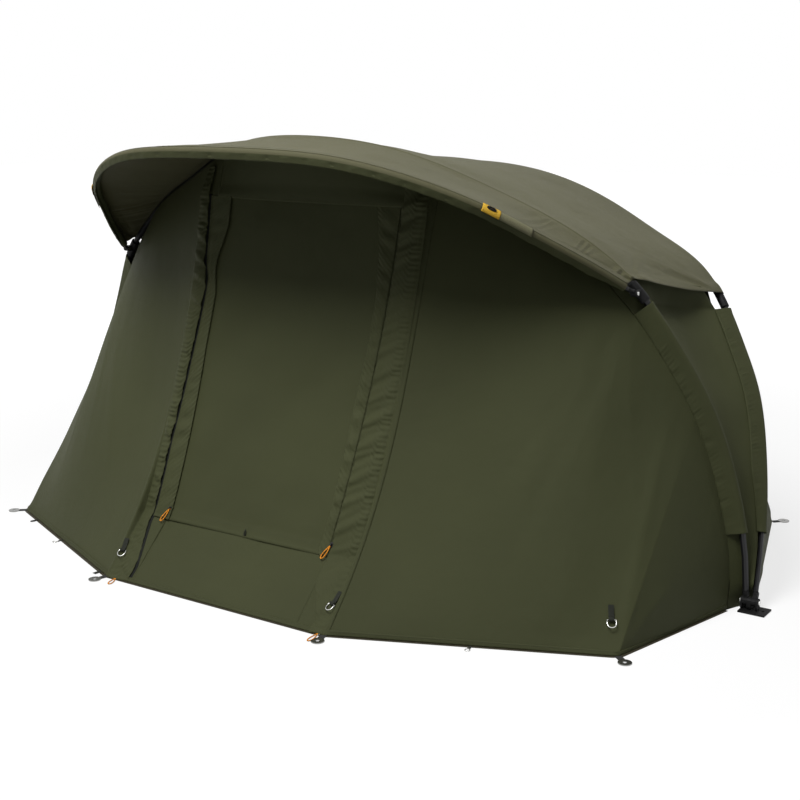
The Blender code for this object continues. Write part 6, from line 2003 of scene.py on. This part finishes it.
for label, side in SIDES:
    hem = (0.840, -0.711)
    flat_tab("hem_tab_" + label, (hem[0] * side, hem[1]), ((hem[0] + 0.006) * side, hem[1] - 0.024), 0.010,
             WEBBING)
    ring_start, ring_end = (hem[0] + 0.005, hem[1] - 0.020), (hem[0] + 0.010, hem[1] - 0.040)
    ground_loop("hem_ring_" + label, (ring_start[0] * side, ring_start[1]),
                (ring_end[0] * side, ring_end[1]), 0.020, 0.0014, STEEL)
flat_tab("hem_tab_door_left", (-0.493, -0.862), (-0.497, -0.893), 0.016, WEBBING)
ground_loop("hem_loop_corner_left", (-1.087, -0.602), (-1.098, -0.634), 0.014, 0.0016, WEBBING)
ground_loop("hem_cord_right", (0.424, -0.886), (0.432, -0.945), 0.019, 0.0019, ORANGE)
ground_loop("hem_cord_left", (-0.404, -0.886), (-0.384, -0.936), 0.019, 0.0019, ORANGE)
flat_tab("buckle_right", (0.430, -0.884), (0.427, -0.904), 0.008, STEEL, 0.0030)

# A small toggle loop stands on the door's foot hem
seam_face = float(face(0.0, SKIRT_HEIGHT)) - DOOR_LAP_LIFT - CLOTH
line = teardrop((0.0, seam_face, SKIRT_HEIGHT + 0.013), (0.0, -0.35, -1.0), (1.0, 0.0, 0.0), 0.018, 0.009)
front_piece(wire_loop("door_toggle", line, (0.0, 1.0, -0.35), 0.0016, WEBBING), "door")

# %% [markdown]
# ## Floor
# A white floor goes on into a white world. Lit white, it would bleach the dark cloth, so it is grey
# and glows for the camera alone. It still shows the tent's shadow.

# %% Floor
FLOOR_DROP = 0.0005        # under the hems, so that the two don't flicker
FLOOR_SIZE = 40.0
FLOOR_GLOW = 0.78
GLOW_START = 1.8
GLOW_END = 5.0


def floor_material():
    made, tree, shader = base_material("pale_floor", (0.25, 0.25, 0.25), 0.95, specular=0.1)
    rays = tree.nodes.new("ShaderNodeLightPath")
    seen = math_node(tree, "MAXIMUM", rays.outputs["Is Camera Ray"], rays.outputs["Is Glossy Ray"])
    where = tree.nodes.new("ShaderNodeTexCoord").outputs["Object"]
    far = tree.nodes.new("ShaderNodeMapRange")
    far.inputs["From Min"].default_value = GLOW_START
    far.inputs["From Max"].default_value = GLOW_END
    far.inputs["To Min"].default_value = FLOOR_GLOW
    far.inputs["To Max"].default_value = 1.0
    link(tree, vector_node(tree, "LENGTH", where), far.inputs["Value"])
    shader.inputs["Emission Color"].default_value = (1.0, 1.0, 1.0, 1.0)
    glow = math_node(tree, "MULTIPLY", seen, far.outputs["Result"])
    link(tree, glow, shader.inputs["Emission Strength"])
    bump(tree, shader, noise_node(tree, where, 60.0, 3.0), 0.1, 0.0005)
    return made


floor_mesh = bpy.data.meshes.new("floor")
half = FLOOR_SIZE / 2
floor_mesh.from_pydata([(-half, -half, 0), (half, -half, 0), (half, half, 0), (-half, half, 0)], [],
                       [(0, 1, 2, 3)])
floor = shown("floor", floor_mesh)
floor.location.z = -FLOOR_DROP
floor_mesh.materials.append(floor_material())
print("floor", FLOOR_SIZE, "m wide")

# %% [markdown]
# ## White surroundings
# The camera and mirrors see a white world, while the cloth gets little of its light. One world
# can't do both by itself, so the light path tells the rays apart.

# %% World
WORLD_LIGHT = 0.07
world = bpy.data.worlds.new("white_room")
bpy.context.scene.world = world
world.use_nodes = True
tree = world.node_tree
background = tree.nodes["Background"]
background.inputs["Color"].default_value = (1.0, 1.0, 1.0, 1.0)
rays = tree.nodes.new("ShaderNodeLightPath")
seen = math_node(tree, "MAXIMUM", rays.outputs["Is Camera Ray"], rays.outputs["Is Glossy Ray"])
strength = math_node(tree, "ADD", WORLD_LIGHT, math_node(tree, "MULTIPLY", seen, 1.0 - WORLD_LIGHT))
link(tree, strength, background.inputs["Strength"])
print("light from the world", WORLD_LIGHT)

# %% [markdown]
# ## Lamps
# One broad lamp high above the door gives a studio's soft light, and a weak one lifts the right
# side. A sun lamp's shadows would be too hard.

# %% Lamps
def lamp(name, place, target, size, watts):
    light = bpy.data.lights.new(name, "AREA")
    light.shape = "DISK"
    light.size = size
    light.energy = watts
    made = shown(name, light)
    made.location = place
    made.rotation_euler = (Vector(target) - Vector(place)).to_track_quat("-Z", "Y").to_euler()


lamp("key", (0.1, -3.4, 6.1), (0, -0.2, 0.4), 3.0, 432)
lamp("side", (4.6, -0.6, 3.2), (0.3, 0, 0.6), 2.6, 4)

# %% [markdown]
# ## Camera
# The camera stands where the photograph was taken from. Its place and lens were fitted to the lines
# of the hem and the door, as a guess would shift each edge by some pixels.

# %% Camera
CAMERA_PLACE = (2.71017, -3.85029, 1.55895)
CAMERA_PITCH = math.radians(12.894)
CAMERA_TURN = math.radians(33.971)
CAMERA_LENS = 61.316
camera = bpy.data.cameras.new("photo_view")
camera.sensor_width = 36.0
camera.lens = CAMERA_LENS
eye = shown("photo_view", camera)
eye.location = CAMERA_PLACE
eye.rotation_euler = (math.pi / 2 - CAMERA_PITCH, 0, CAMERA_TURN)
bpy.context.scene.camera = eye
bpy.context.scene.view_settings.view_transform = "Standard"
print("lens", CAMERA_LENS, "mm")
